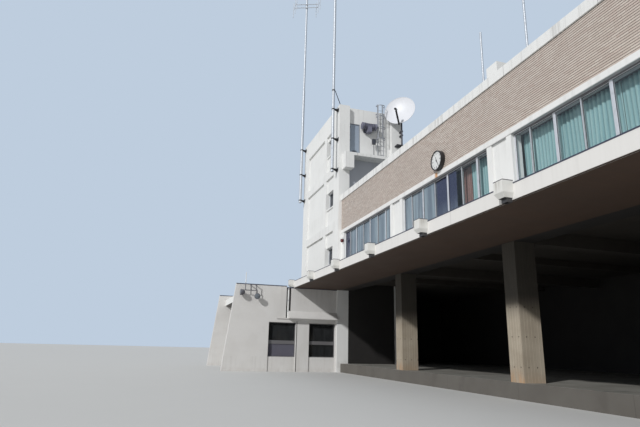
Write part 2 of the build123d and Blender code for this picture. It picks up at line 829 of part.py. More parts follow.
def tower_back_wall():
    outline = [
        (LEFT, TOWER_BACK),
        (LEFT, TOWER_INNER_BACK),
        (LEFT + LEFT_PIER, TOWER_INNER_BACK),
        (LEFT + LEFT_PIER, TOWER_BACK - WALL),
        (TOWER_RIGHT - RIGHT_PIER, TOWER_BACK - WALL),
        (TOWER_RIGHT - RIGHT_PIER, TOWER_INNER_BACK),
        (TOWER_RIGHT, TOWER_INNER_BACK),
        (TOWER_RIGHT, TOWER_BACK),
    ]
    return along_z(outline, (0, TOWER_TOP))


def tower_floors():
    outline = [
        (LEFT + WALL, TOWER_INNER_FRONT),
        (SIDE_WALL - WALL, TOWER_INNER_FRONT),
        (SIDE_WALL - WALL, TOWER_INNER_BACK),
        (TOWER_RIGHT - RIGHT_PIER, TOWER_INNER_BACK),
        (TOWER_RIGHT - RIGHT_PIER, TOWER_BACK - WALL),
        (LEFT + LEFT_PIER, TOWER_BACK - WALL),
        (LEFT + LEFT_PIER, TOWER_INNER_BACK),
        (LEFT + WALL, TOWER_INNER_BACK),
    ]
    levels = [FLOOR_LEVEL] + TOWER_FLOORS + [TOWER_TOP - TOWER_PARAPET]
    return [along_z(outline, (level - SLAB, level)) for level in levels]


def landing():
    front = TOWER_FRONT + LANDING_START
    edge = TOWER_RIGHT + LANDING_REACH
    outline = [
        (TOWER_RIGHT, front),
        (edge, front),
        (edge, front + LANDING_LENGTH),
        (SIDE_WALL, front + LANDING_LENGTH),
        (SIDE_WALL, TOWER_INNER_FRONT),
        (TOWER_RIGHT, TOWER_INNER_FRONT),
    ]
    slab = along_z(outline, (LANDING - LANDING_THICKNESS, LANDING))
    end = block(
        (TOWER_RIGHT, edge),
        (front, front + LANDING_BLOCK),
        (LANDING - LANDING_BLOCK_HEIGHT, LANDING),
    )
    return slab + end


def siren():
    """A motor between two slotted drums with flared mouths, on a wall bracket."""
    x = SIDE_WALL + SIREN_STANDOFF
    y = TOWER_INNER_FRONT + SIREN_OFFSET
    z = LANDING + SIREN_RISE
    half = SIREN_BODY_LENGTH / 2
    tip = half + SIREN_DRUM_LENGTH
    outline = [
        (0, -tip),
        (SIREN_MOUTH / 2, -tip),
        (SIREN_MOUTH / 2, -tip + CLAMP_WALL),
        (SIREN_DRUM / 2, -half - SIREN_DRUM_LENGTH / 2),
        (SIREN_DRUM / 2, -half),
        (SIREN_BODY / 2, -half),
        (SIREN_BODY / 2, half),
        (SIREN_DRUM / 2, half),
        (SIREN_DRUM / 2, half + SIREN_DRUM_LENGTH / 2),
        (SIREN_MOUTH / 2, tip - CLAMP_WALL),
        (SIREN_MOUTH / 2, tip),
        (0, tip),
    ]
    body = revolve(Polygon(*outline, align=None), axis=Axis.Y)
    saddle = Pos(0, 0, -SIREN_DRUM / 2) * Box(SIREN_BODY, half, SIREN_DRUM)
    arm = Pos(-SIREN_STANDOFF / 2, 0, -SIREN_DRUM / 2) * Box(SIREN_STANDOFF, half, BRACKET_ARM)
    plate = Pos(-SIREN_STANDOFF + BRACKET_PLATE / 2, 0, -SIREN_DRUM / 2)
    plate = plate * Box(BRACKET_PLATE, SIREN_BODY_LENGTH, BRACKET_PLATE_WIDTH)
    return Pos(x, y, z) * (body + saddle + arm + plate)


def siren_control():
    """A control box on a thin post with a foot plate."""
    x = SIDE_WALL + CONTROL_STANDOFF
    y = TOWER_INNER_FRONT + CONTROL_OFFSET
    foot = block(
        (x - CONTROL_FOOT / 2, x + CONTROL_FOOT / 2),
        (y - CONTROL_FOOT / 2, y + CONTROL_FOOT / 2),
        (LANDING, LANDING + BRACKET_PLATE),
    )
    post = rod((x, y, LANDING), (x, y, LANDING + CONTROL_RISE), CONTROL_POST)
    box = block(
        (x - CONTROL_BOX / 4, x + CONTROL_BOX / 4),
        (y - CONTROL_BOX / 2, y + CONTROL_BOX / 2),
        (LANDING + CONTROL_RISE, LANDING + CONTROL_RISE + CONTROL_HEIGHT),
    )
    return foot + post + box


def ladder_place():
    """X of the ladder, Y of its two stiles and the level of their tops."""
    near = TOWER_INNER_FRONT + LADDER_OFFSET
    return SIDE_WALL + LADDER_STANDOFF, near, near + LADDER_WIDTH, TOWER_TOP + LADDER_ABOVE


def ladder():
    """Two stiles and rungs, fixed to the side wall."""
    x, near, far, top = ladder_place()
    pieces = rod((x, near, LANDING), (x, near, top), STILE)
    pieces += rod((x, far, LANDING), (x, far, top), STILE)
    count = int((top - LANDING) / RUNG_PITCH)
    for i in range(1, count):
        z = LANDING + i * RUNG_PITCH
        pieces += rod((x, near, z), (x, far, z), RUNG)
    for z in (LANDING + RUNG_PITCH / 2, TOWER_TOP - RUNG_PITCH / 2):
        for y in (near, far):
            pieces += rod((SIDE_WALL, y, z), (x, y, z), RUNG)
    return pieces


def ladder_cage():
    """Flat safety hoops round the climber's side of the ladder, joined by upright bars."""
    x, near, far, top = ladder_place()
    y = (near + far) / 2
    rise = (top - LANDING) / (HOOPS + 1)
    levels = [top - RUNG_PITCH / 2 - i * rise for i in range(HOOPS)]
    cage = Part()
    for z in levels:
        cage += ladder_hoop(x, y, z)
    foot, head = levels[-1] - HOOP_HEIGHT / 2, levels[0] + HOOP_HEIGHT / 2
    for angle in (-50, 0, 50):
        bar = Pos(HOOP_RADIUS - HOOP_THICKNESS * 1.5, 0, 0) * Rectangle(HOOP_THICKNESS, HOOP_HEIGHT)
        cage += extrude(Pos(x, y, foot) * Rot(0, 0, angle) * bar, amount=head - foot)
    return cage


def ladder_hoop(x, y, z):
    """A half ring with straight ends that reach the stiles."""
    ring = Circle(HOOP_RADIUS) - Circle(HOOP_RADIUS - HOOP_THICKNESS)
    ring -= Pos(-HOOP_RADIUS, 0) * Rectangle(2 * HOOP_RADIUS, 2 * HOOP_RADIUS)
    stile = LADDER_WIDTH / 2 + STILE / 2 + FIT / 2
    length = HOOP_RADIUS - stile
    for side in (-1, 1):
        ring += Pos(HOOP_THICKNESS / 2, side * (stile + length / 2)) * Rectangle(HOOP_THICKNESS, length)
    return extrude(Pos(x, y, z - HOOP_HEIGHT / 2) * ring, amount=HOOP_HEIGHT)


# Masts and antenna

def mast_lines():
    """X of each mast and its diameter at the tower."""
    return [
        (LEFT + MAST_INSET, LEFT_MAST_DIAMETER),
        (TOWER_RIGHT - MAST_INSET, RIGHT_MAST_DIAMETER),
    ]


def masts():
    """A stepped tube on the left and a plain one on the right."""
    (left_x, left), (right_x, right) = mast_lines()
    stepped = [
        (left / 2, MAST_FOOT),
        (left / 2, MAST_STEP),
        (UPPER_MAST_DIAMETER / 2, MAST_STEP + MAST_TAPER),
        (UPPER_MAST_DIAMETER / 2, LEFT_MAST_TOP),
    ]
    plain = [(right / 2, MAST_FOOT), (right / 2, RIGHT_MAST_TOP)]
    return [mast_tube(left_x, stepped), mast_tube(right_x, plain)]


def mast_tube(x, outside):
    """A tube turned from its outside line, with one wall thickness all the way."""
    inside = [(radius - MAST_WALL, z) for radius, z in reversed(outside)]
    wall = Plane.XZ * Polygon(*outside, *inside, align=None)
    return Pos(x, MAST_Y, 0) * revolve(wall, axis=Axis.Z)


def mast_clamp(x, diameter, z, height):
    ring = Circle(diameter / 2 + CLAMP_WALL) - Circle(diameter / 2 + FIT)
    return extrude(Pos(x, MAST_Y, z) * ring, amount=height)


def mast_brackets():
    brackets = []
    for x, diameter in mast_lines():
        for i in range(3):
            brackets.append(mast_bracket(x, diameter, BRACKET_LOW + i * BRACKET_PITCH))
    brackets.append(mast_stay(*mast_lines()[1]))
    return brackets


def mast_bracket(x, diameter, z):
    """A wall plate, an arm and a clamp round the mast."""
    clamp = mast_clamp(x, diameter, z, BRACKET_HEIGHT)
    arm_y = (MAST_Y + diameter / 2 + CLAMP_WALL / 2, TOWER_FRONT - BRACKET_PLATE)
    arm = block((x - BRACKET_ARM / 2, x + BRACKET_ARM / 2), arm_y, (z, z + BRACKET_HEIGHT))
    half = BRACKET_PLATE_WIDTH / 2
    plate = block(
        (x - half, x + half),
        (TOWER_FRONT - BRACKET_PLATE, TOWER_FRONT),
        (z - half + BRACKET_HEIGHT / 2, z + half + BRACKET_HEIGHT / 2),
    )
    return clamp + arm + plate


def mast_stay(x, diameter):
    """A strut from the tower's top to a clamp on the mast above it."""
    foot = (x, TOWER_FRONT + STAY_FOOT_SETBACK, TOWER_TOP + BRACKET_PLATE)
    head_y = MAST_Y + (diameter + STAY_DIAMETER) / 2
    head = (x, head_y, TOWER_TOP + STAY_RISE)
    clamp = mast_clamp(x, diameter, head[2] - BRACKET_HEIGHT / 2, BRACKET_HEIGHT)
    half = BRACKET_PLATE_WIDTH / 2
    plate = block(
        (x - half, x + half),
        (foot[1] - STAY_DIAMETER, foot[1] + STAY_DIAMETER),
        (TOWER_TOP, TOWER_TOP + BRACKET_PLATE),
    )
    return clamp + rod(foot, head, STAY_DIAMETER) + plate


def antenna():
    """Two crossarms on the mast with an upright three-rod antenna at each end."""
    x = mast_lines()[0][0]
    half = CROSSARM_LENGTH / 2
    high = CROSSARM_LEVEL + CROSSARM_GAP
    offset = UPPER_MAST_DIAMETER / 2 + CROSSARM_DIAMETER / 2 + CLAMP_WALL / 2
    turned = Pos(x, MAST_Y, 0) * Rot(0, 0, CROSSARM_TURN)
    pieces = Part()
    for level in (CROSSARM_LEVEL, high):
        pieces += turned * rod((offset, -half, level), (offset, half, level), CROSSARM_DIAMETER)
        foot = level - CROSSARM_DIAMETER / 2
        pieces += mast_clamp(x, UPPER_MAST_DIAMETER, foot, CROSSARM_DIAMETER)
    for side in (-1, 1):
        low_end = (turned * Pos(offset, side * half, CROSSARM_LEVEL)).position
        pieces += upright_antenna(low_end.X, low_end.Y)
    return pieces


def upright_antenna(x, y):
    """A boom between the crossarms that carries three upright rods."""
    high = CROSSARM_LEVEL + CROSSARM_GAP
    middle = (CROSSARM_LEVEL + high) / 2
    reach = BOOM_LENGTH / 2
    pieces = rod((x, y, CROSSARM_LEVEL), (x, y, high), CROSSARM_DIAMETER)
    pieces += rod((x - reach, y, middle), (x + reach, y, middle), BOOM_DIAMETER)
    for place in (-1, 0, 1):
        rod_x = x + place * ELEMENT_PITCH
        foot = middle - ELEMENT_LENGTH / 2
        pieces += rod((rod_x, y, foot), (rod_x, y, foot + ELEMENT_LENGTH), ELEMENT_DIAMETER)
    return pieces


# Dish

def dish_frame():
    """Plane at the rim's middle, its normal along the dish's axis, its Y up the dish."""
    azimuth = math.radians(DISH_AZIMUTH)
    elevation = math.radians(DISH_ELEVATION)
    level = math.cos(elevation)
    normal = Vector(level * math.cos(azimuth), level * math.sin(azimuth), math.sin(elevation))
    across = Vector(-math.sin(azimuth), math.cos(azimuth), 0)
    post_x, post_y = dish_post_place()
    reach = DISH_POST_DIAMETER / 2 + DISH_HUB / 2 + DISH_SHELL + DISH_DEPTH
    middle = Vector(post_x, post_y, HUB_LEVEL) + normal * reach
    return Plane(origin=middle, x_dir=across, z_dir=normal)


def dish_post_place():
    return TOWER_RIGHT + DISH_POST_REACH, TOWER_BACK - DISH_POST_INSET


def dish_reflector():
    radius = DISH_DIAMETER / 2
    inner = ThreePointArc((0, -DISH_DEPTH), (radius / 2, -0.75 * DISH_DEPTH), (radius, 0))
    outer = ThreePointArc(
        (0, -DISH_DEPTH - DISH_SHELL),
        (radius / 2, -0.75 * DISH_DEPTH - DISH_SHELL),
        (radius, -DISH_SHELL),
    )
    edges = [inner, outer, Line(inner @ 0, outer @ 0), Line(inner @ 1, outer @ 1)]
    shell = revolve(Plane.XZ * make_face(edges), axis=Axis.Z)
    return dish_frame() * shell


def dish_feed():
    """A strut from the lower rim to the feed horn in front of the dish."""
    radius = DISH_DIAMETER / 2
    foot = Vector(0, -radius - FEED_ARM, -DISH_SHELL / 2)
    horn = Vector(0, -FEED_DROP, FEED_DISTANCE)
    aim = (Vector(0, 0, -DISH_DEPTH) - horn).normalized()
    lug = rod(foot, Vector(0, -radius - FIT, -DISH_SHELL / 2), FEED_LUG)
    strut = rod(foot, horn, FEED_ARM)
    body = rod(horn - aim * FEED_DIAMETER, horn + aim * FEED_DIAMETER, FEED_DIAMETER)
    return dish_frame() * (lug + strut + body)


def dish_mount():
    """Post, hub behind the dish, shelf under the post and two clamps on the pier."""
    x, y = dish_post_place()
    foot = HUB_LEVEL + DISH_HUB / 2 - DISH_POST_LENGTH
    post = rod((x, y, foot), (x, y, foot + DISH_POST_LENGTH), DISH_POST_DIAMETER)
    hub_start = dish_frame().from_local_coords(Vector(0, 0, -DISH_DEPTH - DISH_SHELL - FIT))
    hub = rod((x, y, HUB_LEVEL), hub_start, DISH_HUB)
    shelf_end = x + DISH_POST_DIAMETER
    shelf = along_y(
        [
            (TOWER_RIGHT, foot - DISH_SHELF),
            (TOWER_RIGHT, foot),
            (shelf_end, foot),
            (shelf_end, foot - DISH_SHELF / 3),
        ],
        (TOWER_BACK - DISH_SHELF_WIDTH, TOWER_BACK),
    )
    mount = post + hub + shelf
    for i in range(2):
        z = foot + POST_CLAMP_LOW + i * POST_CLAMP_GAP
        half = DISH_POST_DIAMETER / 2 + CLAMP_WALL
        mount += block((TOWER_RIGHT, x + half), (y - half, y + half), (z, z + BRACKET_HEIGHT))
    return mount


# Roof pieces and clock

def roof_block():
    left = grid(2) + ROOF_BLOCK_PLACE - ROOF_BLOCK_WIDTH / 2
    front = FRONT + FACADE_DEPTH
    return block(
        (left, left + ROOF_BLOCK_WIDTH),
        (front, front + ROOF_BLOCK_LENGTH),
        (ROOF, ROOF + ROOF_BLOCK_HEIGHT),
    )


def roof_poles():
    poles = []
    for place in POLE_PLACES:
        base = Vector(grid(2) + place, FRONT + POLE_SETBACK, ROOF)
        foot = Pos(*base) * Pos(0, 0, POLE_BASE_HEIGHT / 2)
        foot = foot * Box(POLE_BASE, POLE_BASE, POLE_BASE_HEIGHT)
        poles.append(foot + rod(base, base + Vector(0, 0, POLE_HEIGHT), POLE_DIAMETER))
    return poles


def clock_plane():
    """Plane on the tiles behind the clock, facing the street."""
    x = (grid(1) + grid(2)) / 2 + CLOCK_PLACE
    return Plane(origin=(x, FRONT, CLOCK_LEVEL), x_dir=(1, 0, 0), z_dir=(0, -1, 0))


def clock_case():
    drum = extrude(Circle(CLOCK_DIAMETER / 2), amount=CLOCK_DEPTH)
    well = Plane.XY.offset(CLOCK_DEPTH - CLOCK_LIP) * Circle(CLOCK_DIAMETER / 2 - CLOCK_RIM)
    return clock_plane() * (drum - extrude(well, amount=CLOCK_LIP))


def clock_dial():
    radius = CLOCK_DIAMETER / 2 - CLOCK_RIM - FIT
    face = Plane.XY.offset(CLOCK_DEPTH - CLOCK_LIP) * Circle(radius)
    return clock_plane() * extrude(face, amount=DIAL_THICKNESS)


def clock_hands():
    """A tapered hour hand and minute hand on one boss."""
    level = CLOCK_DEPTH - CLOCK_LIP + DIAL_THICKNESS
    boss = extrude(Plane.XY.offset(level) * Circle(HAND_WIDTH), amount=2 * HAND_THICKNESS)
    for length, angle in ((HOUR_HAND, HOUR_ANGLE), (MINUTE_HAND, MINUTE_ANGLE)):
        tip = HAND_WIDTH / 4
        tail = -HAND_WIDTH * 2
        outline = Polygon(
            (-HAND_WIDTH / 2, tail), (HAND_WIDTH / 2, tail), (tip, length), (-tip, length),
            align=None,
        )
        boss += extrude(Plane.XY.offset(level) * Rot(0, 0, -angle) * outline, amount=HAND_THICKNESS)
    return clock_plane() * boss


# Wing

def wing_side_outline():
    """A side wall seen from the right: slanted street edge, tall front part, low rear part."""
    return [
        (WING_FOOT, 0),
        (TOWER_FRONT, 0),
        (TOWER_FRONT, BEAM_UNDER),
        (BLOCK_END, BEAM_UNDER),
        (BLOCK_END, WING_HEIGHT),
        (WING_HEAD, WING_HEIGHT),
    ]


def wing_window_spans():
    """Y spans of the two windows in a side wall."""
    starts = [FRONT - WING_WINDOW_START + i * WING_WINDOW_PITCH for i in range(2)]
    return [(start, start + WING_WINDOW_WIDTH) for start in starts]


def wing_window_z():
    return WING_WINDOW_SILL, WING_WINDOW_SILL + WING_WINDOW_HEIGHT


def wing_side_wall():
    """The wall on the right, with windows over recessed panels."""
    wall = along_x(wing_side_outline(), (WING_RIGHT - WING_WALL, WING_RIGHT))
    for span in wing_window_spans():
        wall -= block((WING_RIGHT - 2 * WING_WALL, WING_RIGHT + WALL), span, wing_window_z())
        wall -= block((WING_RIGHT - SPANDREL_RECESS, WING_RIGHT), span, (0, WING_WINDOW_SILL))
    return wall


def wing_right_wall():
    """The side wall with a chase for the rainwater pipe."""
    chase = block(
        (WING_RIGHT - CHASE_DEPTH, WING_RIGHT),
        (BLOCK_END, BLOCK_END + CHASE_WIDTH),
        (CHASE_FOOT, BEAM_UNDER + WALL),
    )
    return wing_side_wall() - chase


def to_wing_left(piece):
    """The same piece on the wing's left side."""
    return mirror(piece, about=Plane.YZ.offset((LEFT + WING_RIGHT) / 2))


def street_window_spans():
    """X spans of the three windows in the street wall."""
    middle = (LEFT + WING_RIGHT) / 2
    half = WING_WINDOW_WIDTH / 2
    return [(middle + i * WING_WINDOW_PITCH - half, middle + i * WING_WINDOW_PITCH + half)
            for i in (-1, 0, 1)]


def wing_front_wall():
    wall = block(
        (LEFT + WING_WALL, WING_RIGHT - WING_WALL),
        (WING_FRONT, WING_FRONT + WING_WALL),
        (0, WING_HEIGHT),
    )
    for span in street_window_spans():
        wall -= block(span, (WING_FRONT - WALL, WING_FRONT + 2 * WING_WALL), wing_window_z())
        wall -= block(span, (WING_FRONT, WING_FRONT + SPANDREL_RECESS), (0, WING_WINDOW_SILL))
    return wall


def wing_roof():
    top = WING_HEIGHT - WING_ROOF_DROP
    return block(
        (LEFT + WING_WALL, WING_RIGHT - WING_WALL),
        (WING_FRONT + WING_WALL, TOWER_FRONT),
        (top - SLAB, top),
    )


def wing_floor():
    return block(
        (LEFT + WING_WALL, WING_RIGHT - WING_WALL),
        (WING_FRONT + WING_WALL, TOWER_FRONT),
        (FLOOR_LEVEL - SLAB, FLOOR_LEVEL),
    )


def wing_hoods():
    """Sloped sheets over the side windows, and a deeper one over the street wall."""
    start = FRONT - HOOD_START
    foot = wing_window_z()[1] + HOOD_RISE
    side = [
        (WING_RIGHT, foot),
        (WING_RIGHT + HOOD_REACH, foot),
        (WING_RIGHT + HOOD_REACH, foot + HOOD_EDGE),
        (WING_RIGHT, foot + HOOD_BACK),
    ]
    ledge_x = (WING_RIGHT, WING_RIGHT + LEDGE)
    right = along_y(side, (start, TOWER_FRONT))
    right += block(ledge_x, (start - LEDGE_LENGTH, start), (foot - LEDGE / 2, foot + LEDGE / 2))
    top = WING_HEIGHT
    edge = top - FRONT_HOOD_DROP
    street = [
        (WING_FRONT, top),
        (WING_FRONT, top - FRONT_HOOD_BACK),
        (WING_FRONT - FRONT_HOOD_REACH, edge - FRONT_HOOD_EDGE),
        (WING_FRONT - FRONT_HOOD_REACH, edge),
    ]
    return [right, to_wing_left(right), along_x(street, (LEFT + WING_WALL, WING_RIGHT - WING_WALL))]


def tall_window(x, y, z):
    """A frame across X with a transom; returns the frame and its two panes."""
    frame = block(x, y, z)
    transom = z[0] + TRANSOM_RISE
    spans = [
        (z[0] + FRAME_BAR, transom - TRANSOM_HEIGHT / 2),
        (transom + TRANSOM_HEIGHT / 2, z[1] - FRAME_BAR),
    ]
    clear = (x[0] + FRAME_BAR, x[1] - FRAME_BAR)
    centre = (y[0] + y[1]) / 2
    panes = []
    for span in spans:
        frame -= block(clear, (y[0] - WALL, y[1] + WALL), span)
        pane_x = (clear[0] + FIT, clear[1] - FIT)
        pane_z = (span[0] + FIT, span[1] - FIT)
        panes.append(block(pane_x, (centre - GLASS / 2, centre + GLASS / 2), pane_z))
    return frame, panes


def wing_window_pieces():
    """Windows of the street wall, and the side ones turned from the same piece."""
    frames, panes = [], []
    depth = (WING_WINDOW_SETBACK, WING_WINDOW_SETBACK + WING_FRAME_DEPTH)
    for span in street_window_spans():
        y = (WING_FRONT + depth[0], WING_FRONT + depth[1])
        frame, pair = tall_window(span, y, wing_window_z())
        frames.append(frame)
        panes += pair
    for span in wing_window_spans():
        frame, pair = tall_window(span, depth, wing_window_z())
        turned = Pos(WING_RIGHT, 0, 0) * Rot(0, 0, 90)
        right = [turned * piece for piece in [frame] + pair]
        left = [to_wing_left(piece) for piece in right]
        frames += [right[0], left[0]]
        panes += right[1:] + left[1:]
    return frames, panes


def wing_downpipe():
    """The pipe in the chase between the wing's two parts."""
    x = WING_RIGHT - CHASE_DEPTH + PIPE_DIAMETER / 2 + FIT
    y = BLOCK_END + CHASE_WIDTH / 2
    return rod((x, y, CHASE_FOOT), (x, y, BEAM_UNDER), PIPE_DIAMETER)


def wing_floodlights():
    """Two lamps on a bar that hangs from hooks over the side wall's top, and a thin pole."""
    x = WING_RIGHT + LAMP_STANDOFF
    near = WING_HEAD + LAMP_PLACE
    level = WING_HEIGHT - LAMP_LEVEL
    pieces = rod((x, near, level), (x, near + LAMP_ARM, level), LAMP_BAR)
    pole_y = near + LAMP_POLE_PLACE
    pieces += rod((x, pole_y, level), (x, pole_y, WING_HEIGHT + LAMP_POLE), LAMP_BAR)
    for hook in LAMP_HOOKS:
        y = near + hook
        pieces += rod((x, y, level), (x, y, WING_HEIGHT - LAMP_BAR), LAMP_BAR)
        pieces += block(
            (WING_RIGHT, x + LAMP_BAR / 2),
            (y - LAMP_BAR / 2, y + LAMP_BAR / 2),
            (WING_HEIGHT - 2 * LAMP_BAR, WING_HEIGHT - LAMP_BAR),
        )
    lamps = zip((near, near + LAMP_ARM), LAMP_DROPS, (Rot(90, 0, 0), Rot(0, 90, 0)))
    for y, drop, turn in lamps:
        pieces += rod((x, y, level), (x, y, level - drop), LAMP_BAR)
        pieces += Pos(x, y, level - drop) * turn * lamp_head()
    return pieces


def lamp_head():
    """A reflector bowl, its mouth at the far end of the axis."""
    radius = LAMP_DIAMETER / 2
    neck = LAMP_BAR
    outline = make_face([
        Line((0, -LAMP_DEPTH / 2), (neck, -LAMP_DEPTH / 2)),
        ThreePointArc((neck, -LAMP_DEPTH / 2), (radius * 0.85, -LAMP_DEPTH / 8), (radius, LAMP_DEPTH / 2)),
        Line((radius, LAMP_DEPTH / 2), (0, LAMP_DEPTH / 2)),
        Line((0, LAMP_DEPTH / 2), (0, -LAMP_DEPTH / 2)),
    ])
    return revolve(Plane.XZ * outline, axis=Axis.Z)


def main():
    os.makedirs("parts", exist_ok=True)
    save("garage_floor", garage_floor())
    save("front_columns", *[front_column(line) for line in range(1, GARAGE_BAYS + 1)])
    save("front_beam", front_beam())
    save("ceiling_beams", *ceiling_beams())
    save("upper_floor", upper_floor())
    save("roof_slab", roof_slab())
    save("canopy", canopy())
    save("canopy_flashing", canopy_flashing())
    save("rain_hoppers", *[rain_hopper(x) for x in hopper_places()])
    save("end_wall", end_wall())
    save("back_wall", back_wall())
    save("left_wall", *left_wall())
    save("front_sill_wall", front_sill_wall())
    save("front_upper_wall", front_upper_wall())
    save("front_tiles", front_tiles())
    save("front_pilasters", *front_pilasters())
    save("front_coping", front_coping())
    save("side_copings", *side_copings())

    frames = window_frames()
    sashes = [sash(place) for place in sash_places()]
    panes = [sash_glass(place) for place in sash_places()]
    save("front_window_frames", *frames)
    save("front_window_sashes", *sashes)
    save("front_window_glass", *panes)
    save("back_window_frames", *[back_set(frame) for frame in frames])
    save("back_window_sashes", *[back_set(leaf) for leaf in sashes])
    save("back_window_glass", *[back_set(pane) for pane in panes])
    save("curtain_rails", *curtain_rails())
    save("front_curtains", *front_curtains())

    save("tower_front_wall", tower_front_wall())
    save("tower_right_wall", tower_right_wall())
    save("tower_back_wall", tower_back_wall())
    save("tower_floors", *tower_floors())
    tower_frames, tower_panes = tower_window_pieces()
    save("tower_window_frames", *tower_frames)
    save("tower_window_glass", *tower_panes)
    save("landing", landing())
    save("landing_door", landing_door())
    save("siren", siren())
    save("siren_control", siren_control())
    save("ladder", ladder())
    save("ladder_cage", ladder_cage())
    save("masts", *masts())
    save("mast_brackets", *mast_brackets())
    save("antenna", antenna())
    save("dish_reflector", dish_reflector())
    save("dish_feed", dish_feed())
    save("dish_mount", dish_mount())

    save("roof_block", roof_block())
    save("roof_poles", *roof_poles())
    save("clock_case", clock_case())
    save("clock_dial", clock_dial())
    save("clock_hands", clock_hands())

    save("wing_right_wall", wing_right_wall())
    save("wing_left_wall", to_wing_left(wing_side_wall()))
    save("wing_front_wall", wing_front_wall())
    save("wing_roof", wing_roof())
    save("wing_floor", wing_floor())
    save("wing_hoods", *wing_hoods())
    wing_frames, wing_panes = wing_window_pieces()
    save("wing_window_frames", *wing_frames)
    save("wing_window_glass", *wing_panes)
    save("wing_downpipe", wing_downpipe())
    save("wing_floodlights", wing_floodlights())


main()
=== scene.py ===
# %% [markdown]
# # A fire station in painted concrete
# The building is a white concrete frame. A tower for drying hoses stands at its left end and
# carries two radio masts. To the right of it run three garage bays under a deep canopy, with a
# band of sliding windows and a wall of small beige tiles above. A low wing with slanted side
# walls stands in front of the tower.
#
# The solid model is loaded first and never changed. This script gives every solid a finish, and
# adds the pieces that are too fine for a solid model, such as tiles, curtains and bolts.

# %% Load the solid model
import math

import bmesh
import bpy
from mathutils import Matrix, Vector


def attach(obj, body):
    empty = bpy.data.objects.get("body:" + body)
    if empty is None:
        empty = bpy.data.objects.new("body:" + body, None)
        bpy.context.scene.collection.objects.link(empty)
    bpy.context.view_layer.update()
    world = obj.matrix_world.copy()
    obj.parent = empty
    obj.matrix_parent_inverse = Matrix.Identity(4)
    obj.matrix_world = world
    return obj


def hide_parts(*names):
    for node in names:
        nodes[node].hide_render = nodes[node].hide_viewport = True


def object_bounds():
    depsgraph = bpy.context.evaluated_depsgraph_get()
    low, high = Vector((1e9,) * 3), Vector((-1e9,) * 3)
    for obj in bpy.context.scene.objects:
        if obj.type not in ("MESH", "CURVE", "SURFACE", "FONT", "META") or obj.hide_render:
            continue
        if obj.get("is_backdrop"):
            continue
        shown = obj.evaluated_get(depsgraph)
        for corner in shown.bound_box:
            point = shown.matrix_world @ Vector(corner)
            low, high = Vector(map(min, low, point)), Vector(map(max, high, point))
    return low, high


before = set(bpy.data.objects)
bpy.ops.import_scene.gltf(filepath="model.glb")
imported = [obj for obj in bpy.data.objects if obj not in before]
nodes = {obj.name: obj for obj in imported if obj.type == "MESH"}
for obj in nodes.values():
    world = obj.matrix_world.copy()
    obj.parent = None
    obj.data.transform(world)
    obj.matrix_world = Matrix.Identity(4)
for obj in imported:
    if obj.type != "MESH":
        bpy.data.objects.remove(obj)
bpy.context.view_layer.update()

# %% [markdown]
# ## Camera
# The building is seen from low down, near its right end, through a wide lens. The three turns
# are applied in the order in which they are made by hand: turn left, tilt up, lean.

# %% Camera
TURN, TILT, LEAN = 72.777, 14.851, 1.358
STAND = (21.565, -13.09, 1.393)
FOCAL_LENGTH, SENSOR_WIDTH = 28.41, 36
FARTHEST = 1000


def moved(x, y, z):
    return Matrix.Translation((x, y, z))


def turned(degrees, axis):
    return Matrix.Rotation(math.radians(degrees), 4, axis)


def add_object(name, data):
    """An object of that name in the scene."""
    made = bpy.data.objects.new(name, data)
    bpy.context.scene.collection.objects.link(made)
    return made


lens = bpy.data.cameras.new("camera")
lens.lens = FOCAL_LENGTH
lens.sensor_width = SENSOR_WIDTH
lens.clip_end = FARTHEST
camera = add_object("camera", lens)
camera.matrix_world = moved(*STAND) @ turned(TURN, "Z") @ turned(90 + TILT, "X") @ turned(LEAN, "Z")
bpy.context.scene.camera = camera
bpy.context.scene.view_settings.view_transform = "Standard"
print("camera at", tuple(camera.location))

# %% [markdown]
# ## Writing node trees as sums
# A finish is a tree of nodes. Linking dozens of Math nodes by hand hides what they work out, so
# one small class wraps a socket and lets it take part in Python sums. Each sum adds its node.
# Every other node comes from one method: its type, its settings, then its sockets. The bench also
# keeps the colour laid so far, because a painter lays one thin coat over the last.

# %% A wire and a bench to work at
def sum_of(operation, swapped=False):
    """The method that a Wire needs for one operator of Python."""
    def method(self, *others):
        values = (*others, self) if swapped else (self, *others)
        return self.bench.maths(operation, *values)
    return method


class Wire:
    """The output of a node. A sum such as 1 - mask * 0.4 adds the Math nodes for it."""

    def __init__(self, bench, socket):
        self.bench = bench
        self.socket = socket

    __add__, __radd__ = sum_of("ADD"), sum_of("ADD", swapped=True)
    __sub__, __rsub__ = sum_of("SUBTRACT"), sum_of("SUBTRACT", swapped=True)
    __mul__, __rmul__ = sum_of("MULTIPLY"), sum_of("MULTIPLY", swapped=True)
    __truediv__, __mod__ = sum_of("DIVIDE"), sum_of("FLOORED_MODULO")
    __lt__, __gt__ = sum_of("LESS_THAN"), sum_of("GREATER_THAN")
    __abs__, whole = sum_of("ABSOLUTE"), sum_of("FLOOR")


